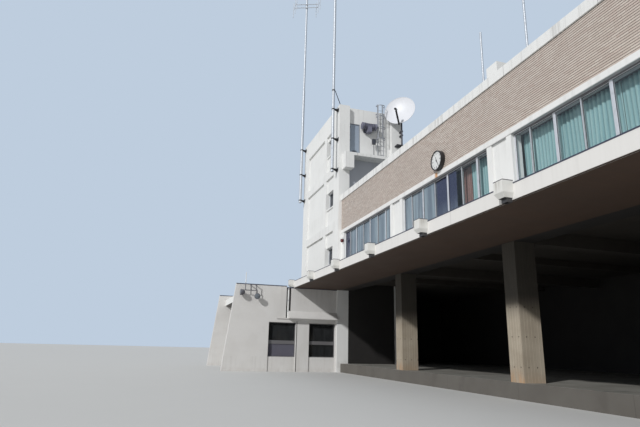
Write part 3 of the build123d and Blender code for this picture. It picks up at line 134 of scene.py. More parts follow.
class Bench:
    """The node tree of one finish, with the few tools that the finishes below need."""

    def __init__(self, tree, material=None, colour=None):
        tree.nodes.clear()
        self.tree = tree
        self.material = material
        self.colour = colour
        self.place = self.wire("ShaderNodeTexCoord", {}, {}, "Object")
        self.axes = self.split(self.place)

    def node(self, kind, settings, sockets):
        made = self.tree.nodes.new(kind)
        for name, value in settings.items():
            setattr(made, name, value)
        for name, value in sockets.items():
            if isinstance(value, Wire):
                self.tree.links.new(value.socket, made.inputs[name])
            else:
                made.inputs[name].default_value = value
        return made

    def wire(self, kind, settings, sockets, output=0):
        return Wire(self, self.node(kind, settings, sockets).outputs[output])

    def maths(self, operation, *values):
        return self.wire("ShaderNodeMath", {"operation": operation}, dict(enumerate(values)))

    def split(self, vector):
        parts = self.node("ShaderNodeSeparateXYZ", {}, {"Vector": vector})
        return [Wire(self, socket) for socket in parts.outputs]

    def join(self, x, y, z):
        return self.wire("ShaderNodeCombineXYZ", {}, {"X": x, "Y": y, "Z": z})

    def stretched(self, vector, scale):
        return self.wire("ShaderNodeVectorMath", {"operation": "MULTIPLY"}, {0: vector, 1: scale})

    def noise(self, scale, detail, roughness=0.55):
        """Clouds on the building. The scale is one number, or one for each axis."""
        vector = self.place
        if isinstance(scale, tuple):
            vector, scale = self.stretched(vector, scale), 1.0
        sockets = {"Vector": vector, "Scale": scale, "Detail": detail, "Roughness": roughness}
        return self.wire("ShaderNodeTexNoise", {}, sockets)

    def lottery(self, vector):
        """A number from 0 to 1 that is the same wherever the vector is."""
        return self.wire("ShaderNodeTexWhiteNoise", {"noise_dimensions": "3D"}, {"Vector": vector})

    def rise(self, value, low, high):
        """0 below low, 1 above high, and smooth between them."""
        sockets = {"Value": value, "From Min": low, "From Max": high}
        return self.wire("ShaderNodeMapRange", {"interpolation_type": "SMOOTHSTEP"}, sockets)

    def over(self, share, under, top):
        """Colour top laid over colour under, as thick as share."""
        return self.wire("ShaderNodeMix", {"data_type": "RGBA"}, {0: share, 6: under, 7: top}, 2)

    def lay(self, share, top):
        """Lays a colour over all that is there."""
        self.colour = self.over(share, self.colour, top)

    def cracks(self, size, width):
        """Thin wandering lines, 1 in a crack, only in some parts of the surface."""
        sockets = {"Vector": self.place, "Scale": 1.6, "Detail": 4.0}
        wander = self.wire("ShaderNodeTexNoise", {}, sockets, 1)
        bent = self.wire("ShaderNodeVectorMath", {"operation": "MULTIPLY_ADD"},
                         {0: wander, 1: (0.5, 0.5, 0.5), 2: self.place})
        edge = self.wire("ShaderNodeTexVoronoi", {"feature": "DISTANCE_TO_EDGE"},
                         {"Vector": bent, "Scale": 1 / size})
        part = self.rise(self.noise(0.5 / size, 2.0), 0.52, 0.6)
        return (1 - self.rise(edge, 0.0, width / size)) * part

    def coated(self, roughness, height=None, depth=0.0, metallic=0.0, alpha=1.0, ior=1.5):
        """Closes the finish with a Principled shader, the height as relief. Returns the material."""
        sockets = {"Base Color": self.colour, "Roughness": roughness, "Metallic": metallic,
                   "Alpha": alpha, "IOR": ior}
        if height is not None:
            bump = {"Height": height, "Distance": depth, "Strength": 1.0}
            sockets["Normal"] = self.wire("ShaderNodeBump", {}, bump)
        shader = self.wire("ShaderNodeBsdfPrincipled", {}, sockets)
        self.node("ShaderNodeOutputMaterial", {}, {"Surface": shader})
        return self.material


def finish(name, colour):
    """The bench for a new material that starts from one colour."""
    material = bpy.data.materials.new(name)
    material.use_nodes = True
    return Bench(material.node_tree, material, colour)


def tone(red, green, blue):
    """A colour as a paint chart gives it, from 0 to 255, in the linear light that nodes use."""
    return tuple(((part / 255 + 0.055) / 1.055) ** 2.4 for part in (red, green, blue)) + (1.0,)


print("half of 255 on the paint chart is", round(tone(128, 128, 128)[0], 3), "in linear light")

# %% [markdown]
# ## Light and floor
# A building is lit by a low sun and by the whole sky. A sun lamp that is wider than the real sun
# gives soft shadows, and the world gives the sky's share. What the camera, glass and metal see
# behind the building is a pale backdrop of its own, which doesn't add light to the walls.

# %% Sky and backdrop
SKY_COLOUR, SKY_STRENGTH = (0.93, 0.96, 1.0, 1.0), 0.42
BACKDROP = tone(190, 205, 222)

world = bpy.data.worlds.new("studio")
bpy.context.scene.world = world
world.use_nodes = True
sky = Bench(world.node_tree)
path = sky.node("ShaderNodeLightPath", {}, {}).outputs
seen = 0.0
for ray in ("Is Camera Ray", "Is Glossy Ray", "Is Transmission Ray"):
    seen = sky.maths("MAXIMUM", seen, Wire(sky, path[ray]))
daylight = sky.wire("ShaderNodeBackground", {}, {"Color": SKY_COLOUR, "Strength": SKY_STRENGTH})
backdrop = sky.wire("ShaderNodeBackground", {}, {"Color": BACKDROP, "Strength": 1.0})
shown = sky.wire("ShaderNodeMixShader", {}, {0: seen, 1: daylight, 2: backdrop})
sky.node("ShaderNodeOutputWorld", {}, {"Surface": shown})
print("sky of strength", SKY_STRENGTH)

# %% [markdown]
# The sun stands low, in front of the building and to the right. Its direction decides where the
# canopy's shadow ends: halfway down the columns, which are in full light below that line.

# %% Sun
SUN_ENERGY, SUN_WIDTH = 2.36, math.radians(2.5)
TOWARDS_SUN = Vector((0.503, -0.718, 0.481))

sun = bpy.data.lights.new("sun", "SUN")
sun.energy = SUN_ENERGY
sun.angle = SUN_WIDTH
sun_lamp = add_object("sun", sun)
sun_lamp.rotation_euler = TOWARDS_SUN.to_track_quat("Z", "Y").to_euler()
print("sun energy", sun.energy)

# %% [markdown]
# The floor is one large pale square at level 0. It catches the shadows and throws light back up
# under the canopy. A bmesh becomes an object in two steps, a mesh and then the object that shows
# it, which every new piece below needs too.

# %% Studio floor
FLOOR_REACH = 260


def object_of(name, shape):
    """Turns the shape into an object in the scene."""
    mesh = bpy.data.meshes.new(name)
    shape.to_mesh(mesh)
    shape.free()
    return add_object(name, mesh)


floor_shape = bmesh.new()
bmesh.ops.create_grid(floor_shape, x_segments=1, y_segments=1, size=FLOOR_REACH)
studio_floor = object_of("studio_floor", floor_shape)
studio_floor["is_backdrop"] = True
bench = finish("studio_floor", tone(212, 212, 210))
bench.lay(bench.noise(0.4, 4.0) * 0.3, tone(202, 202, 200))
studio_floor.data.materials.append(bench.coated(0.9))
print("floor at level 0, reaching", FLOOR_REACH, "m each way")

# %% [markdown]
# ## White masonry paint
# The frame is cast concrete under white masonry paint. Paint on concrete is never one colour:
# it is cloudy, rain carries dirt down in narrow runs under every ledge, and thin cracks show.
# A run is a noise that is stretched upright. It is only let through below the given levels,
# fading out on its way down.

# %% Levels that shed rain
SILL, HEAD = 6.42, 8.39
TILE_FOOT, COPING_UNDER, COPING_TOP = 8.585, 10.57, 10.94
TOWER_TOP, LANDING_TOP = 17.35, 13.77
TOWER_LEDGES = (TOWER_TOP, 15.95, 14.43, 13.23, 10.55, 9.35, 6.67, 5.47)
print("rain runs below", len(TOWER_LEDGES), "ledges of the tower")


# %% White paint
def rain_runs(bench, ledges, reach=1.5):
    """Dirt that rain carries down under each level, from 0 to 1."""
    z = bench.axes[2]
    runs = 0.0
    for level in ledges:
        runs = bench.rise(z, level - reach, level) * (z < level + 0.002) + runs
    return bench.rise(bench.noise((6.0, 6.0, 0.3), 5.0, 0.6), 0.47, 0.72) * runs


def white_paint(name, ledges, joints=None, soiled=1.0):
    """White paint with runs under the ledges, and a joint every so many metres."""
    bench = finish(name, tone(232, 232, 230))
    x, y, z = bench.axes
    clouds = bench.noise(0.7, 5.0)
    crack = bench.cracks(2.2, 0.008)
    foot = (1 - bench.rise(z, 0.1, 0.9)) * bench.rise(bench.noise(3.0, 5.0), 0.35, 0.7)
    bench.lay(bench.rise(clouds, 0.4, 0.75) * 0.3, tone(214, 214, 212))
    bench.lay(rain_runs(bench, ledges) * 0.2 * soiled, tone(160, 158, 154))
    bench.lay(crack * 0.16, tone(140, 138, 134))
    bench.lay(foot * 0.4, tone(150, 146, 138))
    bench.height = bench.noise(38.0, 4.0, 0.6) * 0.5 - crack * 0.3
    if joints:
        gap = (abs((x + y) % joints - joints / 2) < 0.008) * 1.0
        bench.lay(gap * 0.7, tone(96, 94, 90))
        bench.height = bench.height - gap
    bench.rough = 0.62 + clouds * 0.2
    return bench


def white_coat(bench):
    """Closes a white finish. Returns the material."""
    return bench.coated(bench.rough, bench.height, 0.003)


def dress(material, *names):
    """Gives a solid's material slots the finish."""
    for name in names:
        mesh = nodes[name].data
        for slot in range(len(mesh.materials)):
            mesh.materials[slot] = material
    print(material.name, "on", ", ".join(names))


dress(white_coat(white_paint("white_window_wall", (HEAD, SILL))),
      "front_sill_wall", "front_pilasters")
dress(white_coat(white_paint("white_coping", (COPING_TOP,), joints=4.0, soiled=2.5)),
      "front_coping", "side_copings", "roof_block")
dress(white_coat(white_paint("white_tower", TOWER_LEDGES)), "tower_front_wall", "tower_back_wall")
dress(white_coat(white_paint("white_landing", (LANDING_TOP,), soiled=2.5)), "landing")

# %% [markdown]
# The garage is white on the outside. Its inside lies in deep shade, so the walls and the beams
# inside it are painted dark as shade, chosen by position: wherever a point is within the outer
# faces and below the upper floor, and along the foot of the beam over the bays. The tower's side
# wall has painted shade of its own under the landing.

# %% Garage in painted shade
END_FACE, BACK_FACE, FACADE = 16.335, 9.48, -2.52
UPPER_FLOOR, SOFFIT = 5.47, 4.82
WALL_SKIN = 0.1
BAYS_FROM, BAYS_TO = -7.4, END_FACE - 0.35


# The dark tone of the painted shade inside the garage.
def garage_shade_tone(bench):
    return bench.over(bench.noise(1.1, 5.0), tone(44, 41, 39), tone(28, 26, 25))


bench = white_paint("white_outside_shade_painted_inside", (COPING_TOP, SILL, UPPER_FLOOR))
x, y, z = bench.axes
between_walls = (abs(x) < END_FACE - WALL_SKIN) * (y < BACK_FACE - WALL_SKIN) * (y > FACADE + 0.02)
# Painted shade inside the garage, and along the foot of the beam over the bays.
shaded_inside = between_walls * (z < UPPER_FLOOR + 0.001)
shaded_beam_foot = (z < SOFFIT + 0.01) * (y < FACADE + 0.22) * (x > BAYS_FROM) * (x < BAYS_TO)
bench.lay(bench.maths("MAXIMUM", shaded_inside, shaded_beam_foot), garage_shade_tone(bench))
dress(white_coat(bench), "back_wall", "end_wall", "left_wall", "front_beam")

# %% Tower's side wall
SIDE_WALL, LANDING_UNDER, GARAGE_ROOF = -8.145, 13.64, 10.3

bench = white_paint("side_wall_with_painted_shade", (TOWER_TOP,))
x, y, z = bench.axes
# Painted shade: grey on the wall under the landing, and dark on its garage side.
shaded_recess = (x < SIDE_WALL + 0.01) * (z > GARAGE_ROOF) * (z < LANDING_UNDER)
shaded_garage_side = (x > SIDE_WALL - 0.05) * (y > FACADE + 0.3) * (z < UPPER_FLOOR + 0.001)
shade_grey = bench.over(bench.noise(0.9, 5.0), tone(186, 190, 200), tone(166, 170, 180))
bench.lay(shaded_recess * 0.85, shade_grey)
bench.lay(shaded_garage_side, garage_shade_tone(bench))
dress(white_coat(bench), "tower_right_wall")

# %% [markdown]
# The lintel band under the tiles is the same paint, with painted shade on its underside and one
# mark of its own: iron in the clock's fixings has rusted, and an orange run goes down the band
# below the left one.

# %% Lintel band with its rust run
CLOCK_X = 4.165
RUST_X = 3.885

bench = white_paint("white_lintel", (TILE_FOOT,))
x, y, z = bench.axes
wide = 0.08 + bench.noise((9.0, 1.0, 1.2), 3.0) * 0.22
rust = (1 - bench.rise(abs(x - RUST_X), 0.03, wide)) * (y < FACADE + 0.004)
# Painted shade on the lintel's underside.
shaded_underside = (z < HEAD + 0.003) * (y > FACADE + 0.004)
bench.lay(shaded_underside * 0.85, tone(150, 151, 155))
bench.lay(rust * 0.85, tone(204, 146, 84))
dress(white_coat(bench), "front_upper_wall")

# %% [markdown]
# ## Canopy
# The canopy's edge is painted white, but its underside was left as it came from the boards. It
# is a dark brown, partly its bare concrete and partly painted shade. The soffit is a level of its
# own, so its finish is chosen by height. The boards run from front to back, and each left its own
# tone. Grout that leaked between two boards stands as a thin, paler line.

# %% Canopy
CANOPY_FRONT, CANOPY_TOP = -5.48, 5.22
CANOPY_JOINTS, SOFFIT_BOARD = 8.0, 0.3
LEAK = 0.008


def boards(bench, along, width, tint):
    """Tone of each board from 0 to 1, and a mask: 1 on a board, 0 in the line between two."""
    tones = bench.lottery(bench.join((along / width).whole(), tint, 0.0))
    off_middle = abs(along % width - width / 2)
    return tones, bench.rise(off_middle, width / 2, width / 2 - LEAK)


bench = white_paint("canopy_paint", (CANOPY_TOP,), CANOPY_JOINTS)
x, y, z = bench.axes
board, flat = boards(bench, x, SOFFIT_BOARD, 3.0)
under = (z < SOFFIT + 0.004) * (y > CANOPY_FRONT + 0.02)
# The soffit's bare concrete, darkened with painted shade.
bare_and_shaded = bench.over(bench.noise((0.5, 1.2, 1.0), 5.0), tone(78, 55, 40), tone(101, 73, 55))
bare_and_shaded = bench.over(board * 0.25, bare_and_shaded, tone(72, 61, 52))
bare_and_shaded = bench.over(flat * 0.5, bare_and_shaded, tone(58, 50, 44))
bench.lay(0.6, tone(224, 220, 215))
bench.lay(under, bare_and_shaded)
dress(bench.coated(bench.rough, bench.height - flat * under * 0.8, 0.004), "canopy")

# %% [markdown]
# ## Bare concrete
# Beams, slabs and columns are unpainted and show the boards they were cast in. The columns'
# boards stand upright, with rows of plugged tie holes. The upper half of a column, in the canopy's
# shadow, is painted dark as shade, and iron in the splash zone has stained its foot brown, most
# of all in front.

# %% Bare concrete
UPRIGHT_BOARD, LEVEL_BOARD = 0.12, 0.15


def bare_concrete(name, light, dark, upright=False):
    """Board-marked concrete. Upright boards run up a column, the others along a beam."""
    bench = finish(name, light)
    x, y, z = bench.axes
    if upright:
        board, flat = boards(bench, x + y, UPRIGHT_BOARD, 7.0)
        grain = bench.noise((30.0, 30.0, 1.5), 3.0)
    else:
        board, flat = boards(bench, z + y, LEVEL_BOARD, 7.0)
        grain = bench.noise((1.5, 8.0, 30.0), 3.0)
    pits = bench.rise(bench.noise(26.0, 2.0), 0.68, 0.74)
    bench.lay(bench.rise(bench.noise(1.3, 5.0), 0.3, 0.75), dark)
    bench.lay(board * 0.3, dark)
    bench.lay(flat * 0.45, tone(84, 78, 70))
    bench.lay(pits * 0.4, tone(80, 74, 66))
    bench.height = grain * 0.4 + board * 0.5 - flat - pits
    return bench


bench = bare_concrete("bare_concrete", tone(138, 133, 126), tone(108, 104, 98))
dress(bench.coated(0.85, bench.height, 0.004), "tower_floors", "wing_roof")
# Inside the garage the beams and upper floor are painted dark as shade.
bench = bare_concrete("concrete_in_painted_shade", tone(50, 47, 44), tone(34, 32, 30))
dress(bench.coated(0.85, bench.height, 0.004), "ceiling_beams", "upper_floor")

# %% Columns
COLUMN_FOOT, COLUMN_FACE = 0.5, FACADE + 0.034
TIE_ACROSS, TIE_UP, TIE_HOLE = 0.31, 0.9, 0.02236

bench = bare_concrete("column_concrete", tone(216, 203, 182), tone(188, 174, 153), upright=True)
x, y, z = bench.axes
across = abs((x + y) % TIE_ACROSS - TIE_ACROSS / 2)
up = abs((z - COLUMN_FOOT) % TIE_UP - TIE_UP / 2)
hole = (across * across + up * up) < TIE_HOLE ** 2
creep = bench.noise((5.0, 5.0, 1.0), 5.0)
low_down = 1 - bench.rise(z + creep * 1.3, COLUMN_FOOT + 0.5, COLUMN_FOOT + 1.2)
in_front = 0.25 + (y < COLUMN_FACE) * 0.6
# Painted shade on the upper half, where the canopy's shadow falls.
shade_above = bench.rise(z, COLUMN_FOOT + 1.7, COLUMN_FOOT + 2.7)
bench.lay(rain_runs(bench, (SOFFIT,), 2.5) * 0.5, tone(98, 88, 76))
bench.lay(shade_above * 0.95, tone(58, 54, 48))
bench.lay(low_down * bench.rise(creep, 0.35, 0.6) * in_front, tone(186, 134, 84))
bench.lay(hole * 0.8, tone(70, 64, 56))
dress(bench.coated(0.85, bench.height - hole * 2.0, 0.004), "front_columns")

# %% [markdown]
# ## Floors and roof
# Garage floors are trowelled smooth and cut into squares before they crack. This one is worn in
# dark tracks from front to back, with drips of oil. The roof slab carries a sheet membrane that
# is laid in strips a metre wide, each lapped over the last.

# %% Floors
FLOOR_SQUARE, LANE, TRACK = 4.0, 8.0, 0.95
COLUMN_LINE = 0.025

bench = finish("trowelled_concrete", tone(150, 148, 141))
x, y, z = bench.axes
half = FLOOR_SQUARE / 2
cut = bench.maths("MINIMUM", abs((x - (COLUMN_LINE + half)) % FLOOR_SQUARE - half),
                  abs(y % FLOOR_SQUARE - half))
joint = 1 - bench.rise(cut, 0.004, 0.012)
off_track = abs(abs((x - COLUMN_LINE) % LANE - LANE / 2) - TRACK)
worn = (1 - bench.rise(off_track, 0.12, 0.3)) * bench.rise(bench.noise(2.0, 4.0), 0.35, 0.65)
drip = bench.rise(bench.noise((1.7, 1.19, 1.7), 5.0), 0.66, 0.74)
bench.lay(bench.rise(bench.noise(0.9, 6.0), 0.3, 0.7), tone(126, 123, 116))
bench.lay(worn * 0.45, tone(70, 68, 65))
bench.lay(drip * 0.6, tone(52, 48, 44))
bench.lay(joint * 0.8, tone(60, 58, 55))
bench.lay((z < COLUMN_FOOT - 0.002) * 0.8, tone(84, 79, 73))
dress(bench.coated(0.7 - drip * 0.3, bench.noise(60.0, 2.0) * 0.3 - joint, 0.003),
      "garage_floor", "wing_floor")

# %% Roof
bench = finish("roof_membrane", tone(132, 136, 134))
x, y, z = bench.axes
lap = 1 - bench.rise(y % 1.0, 0.0, 0.05)
strip = bench.lottery(bench.join(y.whole(), 1.0, 0.0))
bench.lay(bench.rise(bench.noise(0.5, 5.0), 0.3, 0.7), tone(106, 108, 106))
bench.lay(strip * 0.25, tone(90, 92, 92))
bench.lay(lap * 0.6, tone(66, 68, 68))
bench.lay(z < GARAGE_ROOF, tone(128, 122, 114))
dress(bench.coated(0.8, lap + bench.noise(120.0, 2.0) * 0.4, 0.004), "roof_slab")

# %% [markdown]
# ## Rendered wing
# The wing has a sand render in a pale warm grey, a shade darker than the tower. The pipe chase
# between its two parts is painted dark as the shade in its recess, so it reads as a dark slot
# behind the white pipe, and the underside of the street wall's hood is painted shade. A joint
# runs up the side wall beside the first window, and the street wall's head is white.

# %% Rendered wing
WING_FACE, WING_TOP, SPANDREL_TOP = -7.935, 4.9, 0.82
CHASE_FROM, CHASE_TO, CHASE_FOOT = -5.905, -5.625, 2.99
JOINT_Y, JOINT_TOP = -5.21, 2.85
STREET_MIDDLE, STREET_HALF, STREET_FACE = -12.135, 3.895, -7.51
HOOD_FOOT, HOOD_SLOPE = 3.88, 0.263

bench = finish("sand_render", tone(217, 215, 212))
x, y, z = bench.axes
crack = bench.cracks(1.8, 0.006)
splash = (1 - bench.rise(z, 0.02, 0.3)) * bench.rise(bench.noise(4.0, 5.0), 0.3, 0.7)
wall_joint = (abs(y - JOINT_Y) < 0.026) * (z < JOINT_TOP) * (x > WING_FACE - 0.004)
# Painted shade in the recess of the pipe chase.
chase_shade = (y > CHASE_FROM) * (y < CHASE_TO) * (z > CHASE_FOOT)
between_sides = abs(x - STREET_MIDDLE) < STREET_HALF
white_head = (y < STREET_FACE + 0.01) * between_sides * (z > HOOD_FOOT - 0.03)
hood_under = HOOD_FOOT + 0.025 - (y - STREET_FACE) * HOOD_SLOPE
# Painted shade under the street wall's hood.
shade_under_hood = (y < STREET_FACE - 0.01) * (z < hood_under) * (z > HOOD_FOOT) * between_sides
bench.lay(bench.rise(bench.noise(1.1, 5.0), 0.35, 0.7) * 0.5, tone(205, 202, 198))
bench.lay(rain_runs(bench, (WING_TOP, SPANDREL_TOP), 1.8) * 0.2, tone(166, 161, 154))
bench.lay(crack * 0.2, tone(130, 124, 118))
bench.lay(splash * 0.22, tone(150, 140, 128))
bench.lay(wall_joint * 0.9, tone(58, 55, 54))
bench.lay(chase_shade * (x > WING_FACE - 0.125) * (x < WING_FACE - 0.002), tone(74, 70, 68))
bench.lay(white_head, tone(230, 230, 227))
bench.lay(shade_under_hood, tone(96, 92, 90))
dress(bench.coated(0.85, bench.noise(90.0, 3.0, 0.7) - crack * 0.5, 0.003),
      "wing_front_wall", "wing_left_wall", "wing_right_wall", "wing_hoods")

# %% [markdown]
# ## Metals
# Three kinds of metal are out in the weather: dull aluminium in the windows, zinc-coated steel in
# masts and poles, and painted steel in the fittings. Each needs a grain at its own scale: drawn
# lines along an aluminium bar, flowers of zinc a few centimetres wide, and rust that starts at
# chips in the paint.

# %% Aluminium
def aluminium(name, shade_and_weathering_from=None):
    """Dull aluminium. Above the given level it is dark: painted shade at the head of the front frames,
    and weathered grey all over the wing's frames.
    """
    bench = finish(name, tone(206, 208, 212))
    drawn = bench.noise((160.0, 160.0, 5.0), 3.0)
    bloom = bench.rise(bench.noise(6.0, 5.0), 0.5, 0.75)
    bench.lay(bloom * 0.4, tone(170, 172, 176))
    if shade_and_weathering_from is not None:
        bench.lay((bench.axes[2] > shade_and_weathering_from) * 0.85, tone(96, 92, 92))
    return bench.coated(0.36 + bloom * 0.2 + drawn * 0.1, drawn, 0.0003, metallic=0.35)


window_metal = aluminium("window_aluminium")
dress(window_metal, "front_window_sashes", "back_window_sashes", "tower_window_frames")
# Painted shade on the frames' head track, under the lintel.
dress(aluminium("aluminium_with_shaded_head", HEAD - 0.045), "front_window_frames", "back_window_frames")
dress(aluminium("weathered_aluminium", 0.0), "wing_window_frames")


# %% Zinc-coated steel
def zinc(name, light, dark):
    bench = finish(name, light)
    sockets = {"Vector": bench.place, "Scale": 34.0}
    tint = bench.split(bench.wire("ShaderNodeTexVoronoi", {}, sockets, "Color"))[0]
    bench.lay(tint * 0.5, dark)
    bench.lay(bench.rise(bench.noise((14.0, 14.0, 0.7), 4.0), 0.6, 0.72) * 0.35, tone(140, 108, 78))
    return bench.coated(0.42 + tint * 0.15, tint, 0.0004, metallic=0.45)


zinc_steel = zinc("zinc_coated_steel", tone(196, 199, 203), tone(160, 163, 168))
dress(zinc_steel, "masts", "antenna", "roof_poles")


# %% Painted steel
def painted_metal(name, paint, chipped, chips, gloss=0.4, white_above=None):
    bench = finish(name, paint)
    cloud = bench.noise(5.0, 4.0)
    spot = bench.rise(bench.noise(22.0, 5.0), 0.66, 0.71) * chips
    runs = bench.rise(bench.noise((20.0, 20.0, 2.0), 4.0), 0.6, 0.75)
    bench.lay(cloud * 0.5, tuple(part * 0.8 for part in paint[:3]) + (1.0,))
    bench.lay(runs * chips * 0.6, chipped)
    bench.lay(spot, chipped)
    if white_above is not None:
        bench.lay(bench.axes[2] > white_above, tone(226, 226, 224))
    return bench.coated(gloss + cloud * 0.15 + spot * 0.3, cloud * 0.3 - spot, 0.0008)


RUST = tone(134, 88, 56)
dark_steel = painted_metal("dark_steel", tone(66, 67, 74), RUST, 0.3)
black_paint = painted_metal("black_paint", tone(34, 33, 34), tone(80, 70, 62), 0.2, 0.3)
white_steel = painted_metal("white_steel", tone(226, 226, 224), tone(158, 142, 124), 0.3)
siren_paint = painted_metal("siren_paint", tone(118, 118, 134), RUST, 0.25)
flashing_paint = painted_metal("flashing_paint", tone(58, 60, 78), tone(120, 116, 116), 0.4)
dish_paint = painted_metal("dish_paint", tone(228, 229, 233), tone(196, 194, 190), 0.08, 0.35)
grey_steel = painted_metal("grey_steel", tone(140, 143, 150), RUST, 0.25)
lamp_paint = painted_metal("lamp_paint", tone(100, 100, 106), RUST, 0.2, white_above=WING_TOP + 0.02)

dress(grey_steel, "ladder", "ladder_cage")
dress(dark_steel, "curtain_rails", "siren_control", "dish_mount")
dress(black_paint, "mast_brackets", "dish_feed", "clock_case", "clock_hands")
dress(white_steel, "clock_dial", "wing_downpipe")
dress(siren_paint, "siren")
dress(flashing_paint, "canopy_flashing")
dress(dish_paint, "dish_reflector")
dress(painted_metal("door_paint", tone(160, 172, 186), tone(110, 104, 98), 0.3), "landing_door")
dress(lamp_paint, "wing_floodlights")

# %% [markdown]
# The rain hoppers are white like the canopy's edge, with a dark lead strip round the rim. Below
# their foot they are dark.

# %% Rain hoppers
HOPPER_FOOT, HOPPER_RIM = 4.862, 5.265

bench = finish("hopper_paint", tone(228, 227, 222))
x, y, z = bench.axes
cloud = bench.noise(4.0, 4.0)
bench.lay(cloud * 0.4, tone(200, 199, 194))
bench.lay(rain_runs(bench, (HOPPER_RIM + 0.015,), 0.4) * 0.6, tone(150, 140, 128))
bench.lay(z > HOPPER_RIM, tone(66, 66, 74))
bench.lay(z < HOPPER_FOOT, tone(62, 60, 60))
dress(bench.coated(0.55, cloud, 0.001), "rain_hoppers")

# %% [markdown]
# ## Glass
# Sheet glass is nearly clear where a curtain hangs behind it. A pane with a dark room behind it
# carries a painted reflection of the sky, pale in soft upright bands, each light a little
# different, and a few lights are deep blue. A blind hangs behind the lower part of the wing's
# first window. Every pane carries thin dust.

# %% Glass
CURTAINS_FROM = 5.1
DEEP_UNTIL, DEEP_FROM, DEEP_LEVELS = -6.62, 3.5, (6.5, 7.5)
LIGHT_START, LIGHT_WIDTH = 0.42, 1.02
BLIND_FROM, BLIND_TOP = -5.3, 1.64


def pane_glass(name, dark, clear, dusty, dark_until=None, blind_from=None):
    """Window glass. Left of dark_until it covers a dark room, with its own painted sky in each light."""
    bench = finish(name, dark)
    x, y, z = bench.axes
    dust = bench.noise((6.0, 6.0, 2.0), 4.0)
    alpha = clear + dust * dusty
    if dark_until is not None:
        alpha = alpha + (x < dark_until) * 0.68
        # Painted reflection of the sky: soft upright bands, and a tint of its own in each light.
        tint = bench.lottery(bench.join(((x - LIGHT_START) / LIGHT_WIDTH).whole(), 2.0, 0.0))
        deep = (x < DEEP_UNTIL) + (x > DEEP_FROM) * (x < dark_until)
        low = 1 - bench.rise(z, *DEEP_LEVELS)
        painted_sky_bands = bench.rise(bench.noise((4.0, 1.0, 0.3), 3.0), 0.4, 0.62)
        bench.lay(painted_sky_bands * 0.65, tone(84, 100, 118))
        bench.lay(tint * 0.25, tone(96, 116, 134))
        bench.lay(deep * (0.97 - low * 0.35), tone(22, 32, 76))
    if blind_from is not None:
        blind = (x > WING_FACE - 0.5) * (y < blind_from) * (z < BLIND_TOP)
        bench.lay(blind * 0.85, tone(112, 110, 124))
    bench.lay(dust * 0.2, tone(120, 126, 130))
    return bench.coated(0.04 + dust * 0.06, bench.noise(0.8, 1.0), 0.01, alpha=alpha, ior=1.52)


dress(pane_glass("front_glass", tone(164, 181, 191), 0.04, 0.03, CURTAINS_FROM), "front_window_glass")
dress(pane_glass("other_glass", tone(36, 48, 62), 0.5, 0.1),
      "back_window_glass", "tower_window_glass")
dress(pane_glass("wing_glass", tone(26, 25, 25), 0.75, 0.1, blind_from=BLIND_FROM),
      "wing_window_glass")

# %% [markdown]
# ## Making new pieces
# A new piece is a bmesh. Small parts are boxes, rods and rings that start from the create
# operators and are moved into place by a matrix, so that the finished object itself stays at the
# origin.

# %% Helpers for new pieces
def place_box(shape, low, high, matrix=Matrix()):
    """A box between two corners, then moved by the matrix. Returns its vertices."""
    low, high = Vector(low), Vector(high)
    fitted = moved(*(low + high) / 2) @ Matrix.Diagonal((high - low).to_4d())
    return bmesh.ops.create_cube(shape, size=1, matrix=matrix @ fitted)["verts"]


def soften(shape, width, segments=1, edges=None):
    """Rounds the edges of the shape a little, as all real edges are."""
    bmesh.ops.bevel(shape, geom=edges or list(shape.edges), offset=width, affect="EDGES",
                    segments=segments, profile=0.5, material=-1)


def make_piece(name, shape, material, smooth=False):
    """Turns the shape into an object that rides on the building."""
    piece = object_of(name, shape)
    piece.data.materials.append(material)
    for face in piece.data.polygons:
        face.use_smooth = smooth
    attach(piece, "root")
    print(name, len(piece.data.polygons), "faces")
    return piece


print("helpers for a box, soft edges and a finished piece")

# %% [markdown]
# ## Tiles
# The upper wall is clad with tiles about 234 by 58 mm, in courses of 76 mm, each course shifted
# by half a tile. The level joints are wide and the upright ones narrow. There are over two
# thousand tiles, so one pair is modelled, with rounded edges and no back, and repeated by two
# Array modifiers. The ends of the field are then cut off at the wall's ends, as a tiler does with
# a saw. The joints are the bed behind the tiles.

# %% Tile courses
TILES_FROM, TILES_TO = -7.845, END_FACE
COURSES = 26
COURSE = (COPING_UNDER - TILE_FOOT) / COURSES
TILE_PITCH = 0.24
LEVEL_JOINT, UPRIGHT_JOINT = 0.018, 0.006
TILE_PROUD, TILE_EDGE = 0.008, 0.0025
SAW_CUT = 0.004

pair = bmesh.new()
for row in range(2):
    left = TILES_FROM - TILE_PITCH + row * TILE_PITCH / 2
    foot = TILE_FOOT + row * COURSE
    place_box(pair, (left, FACADE - TILE_PROUD, foot + LEVEL_JOINT / 2),
              (left + TILE_PITCH - UPRIGHT_JOINT, FACADE + 0.001, foot + COURSE - LEVEL_JOINT / 2))
backs = [face for face in pair.faces if face.normal.y > 0.5]
bmesh.ops.delete(pair, geom=backs, context="FACES")
front_edges = [edge for edge in pair.edges if all(v.co.y < FACADE - 0.004 for v in edge.verts)]
soften(pair, TILE_EDGE, edges=front_edges)
pair_object = object_of("tile_pair", pair)
tiles_in_course = math.ceil((TILES_TO - TILES_FROM) / TILE_PITCH) + 2
for count, step in ((tiles_in_course, (TILE_PITCH, 0, 0)), (COURSES // 2, (0, 0, 2 * COURSE))):
    array = pair_object.modifiers.new("repeat", "ARRAY")
    array.count = count
    array.use_relative_offset = False
    array.use_constant_offset = True
    array.constant_offset_displace = step
field = bmesh.new()
field.from_object(pair_object, bpy.context.evaluated_depsgraph_get())
bpy.data.objects.remove(pair_object)
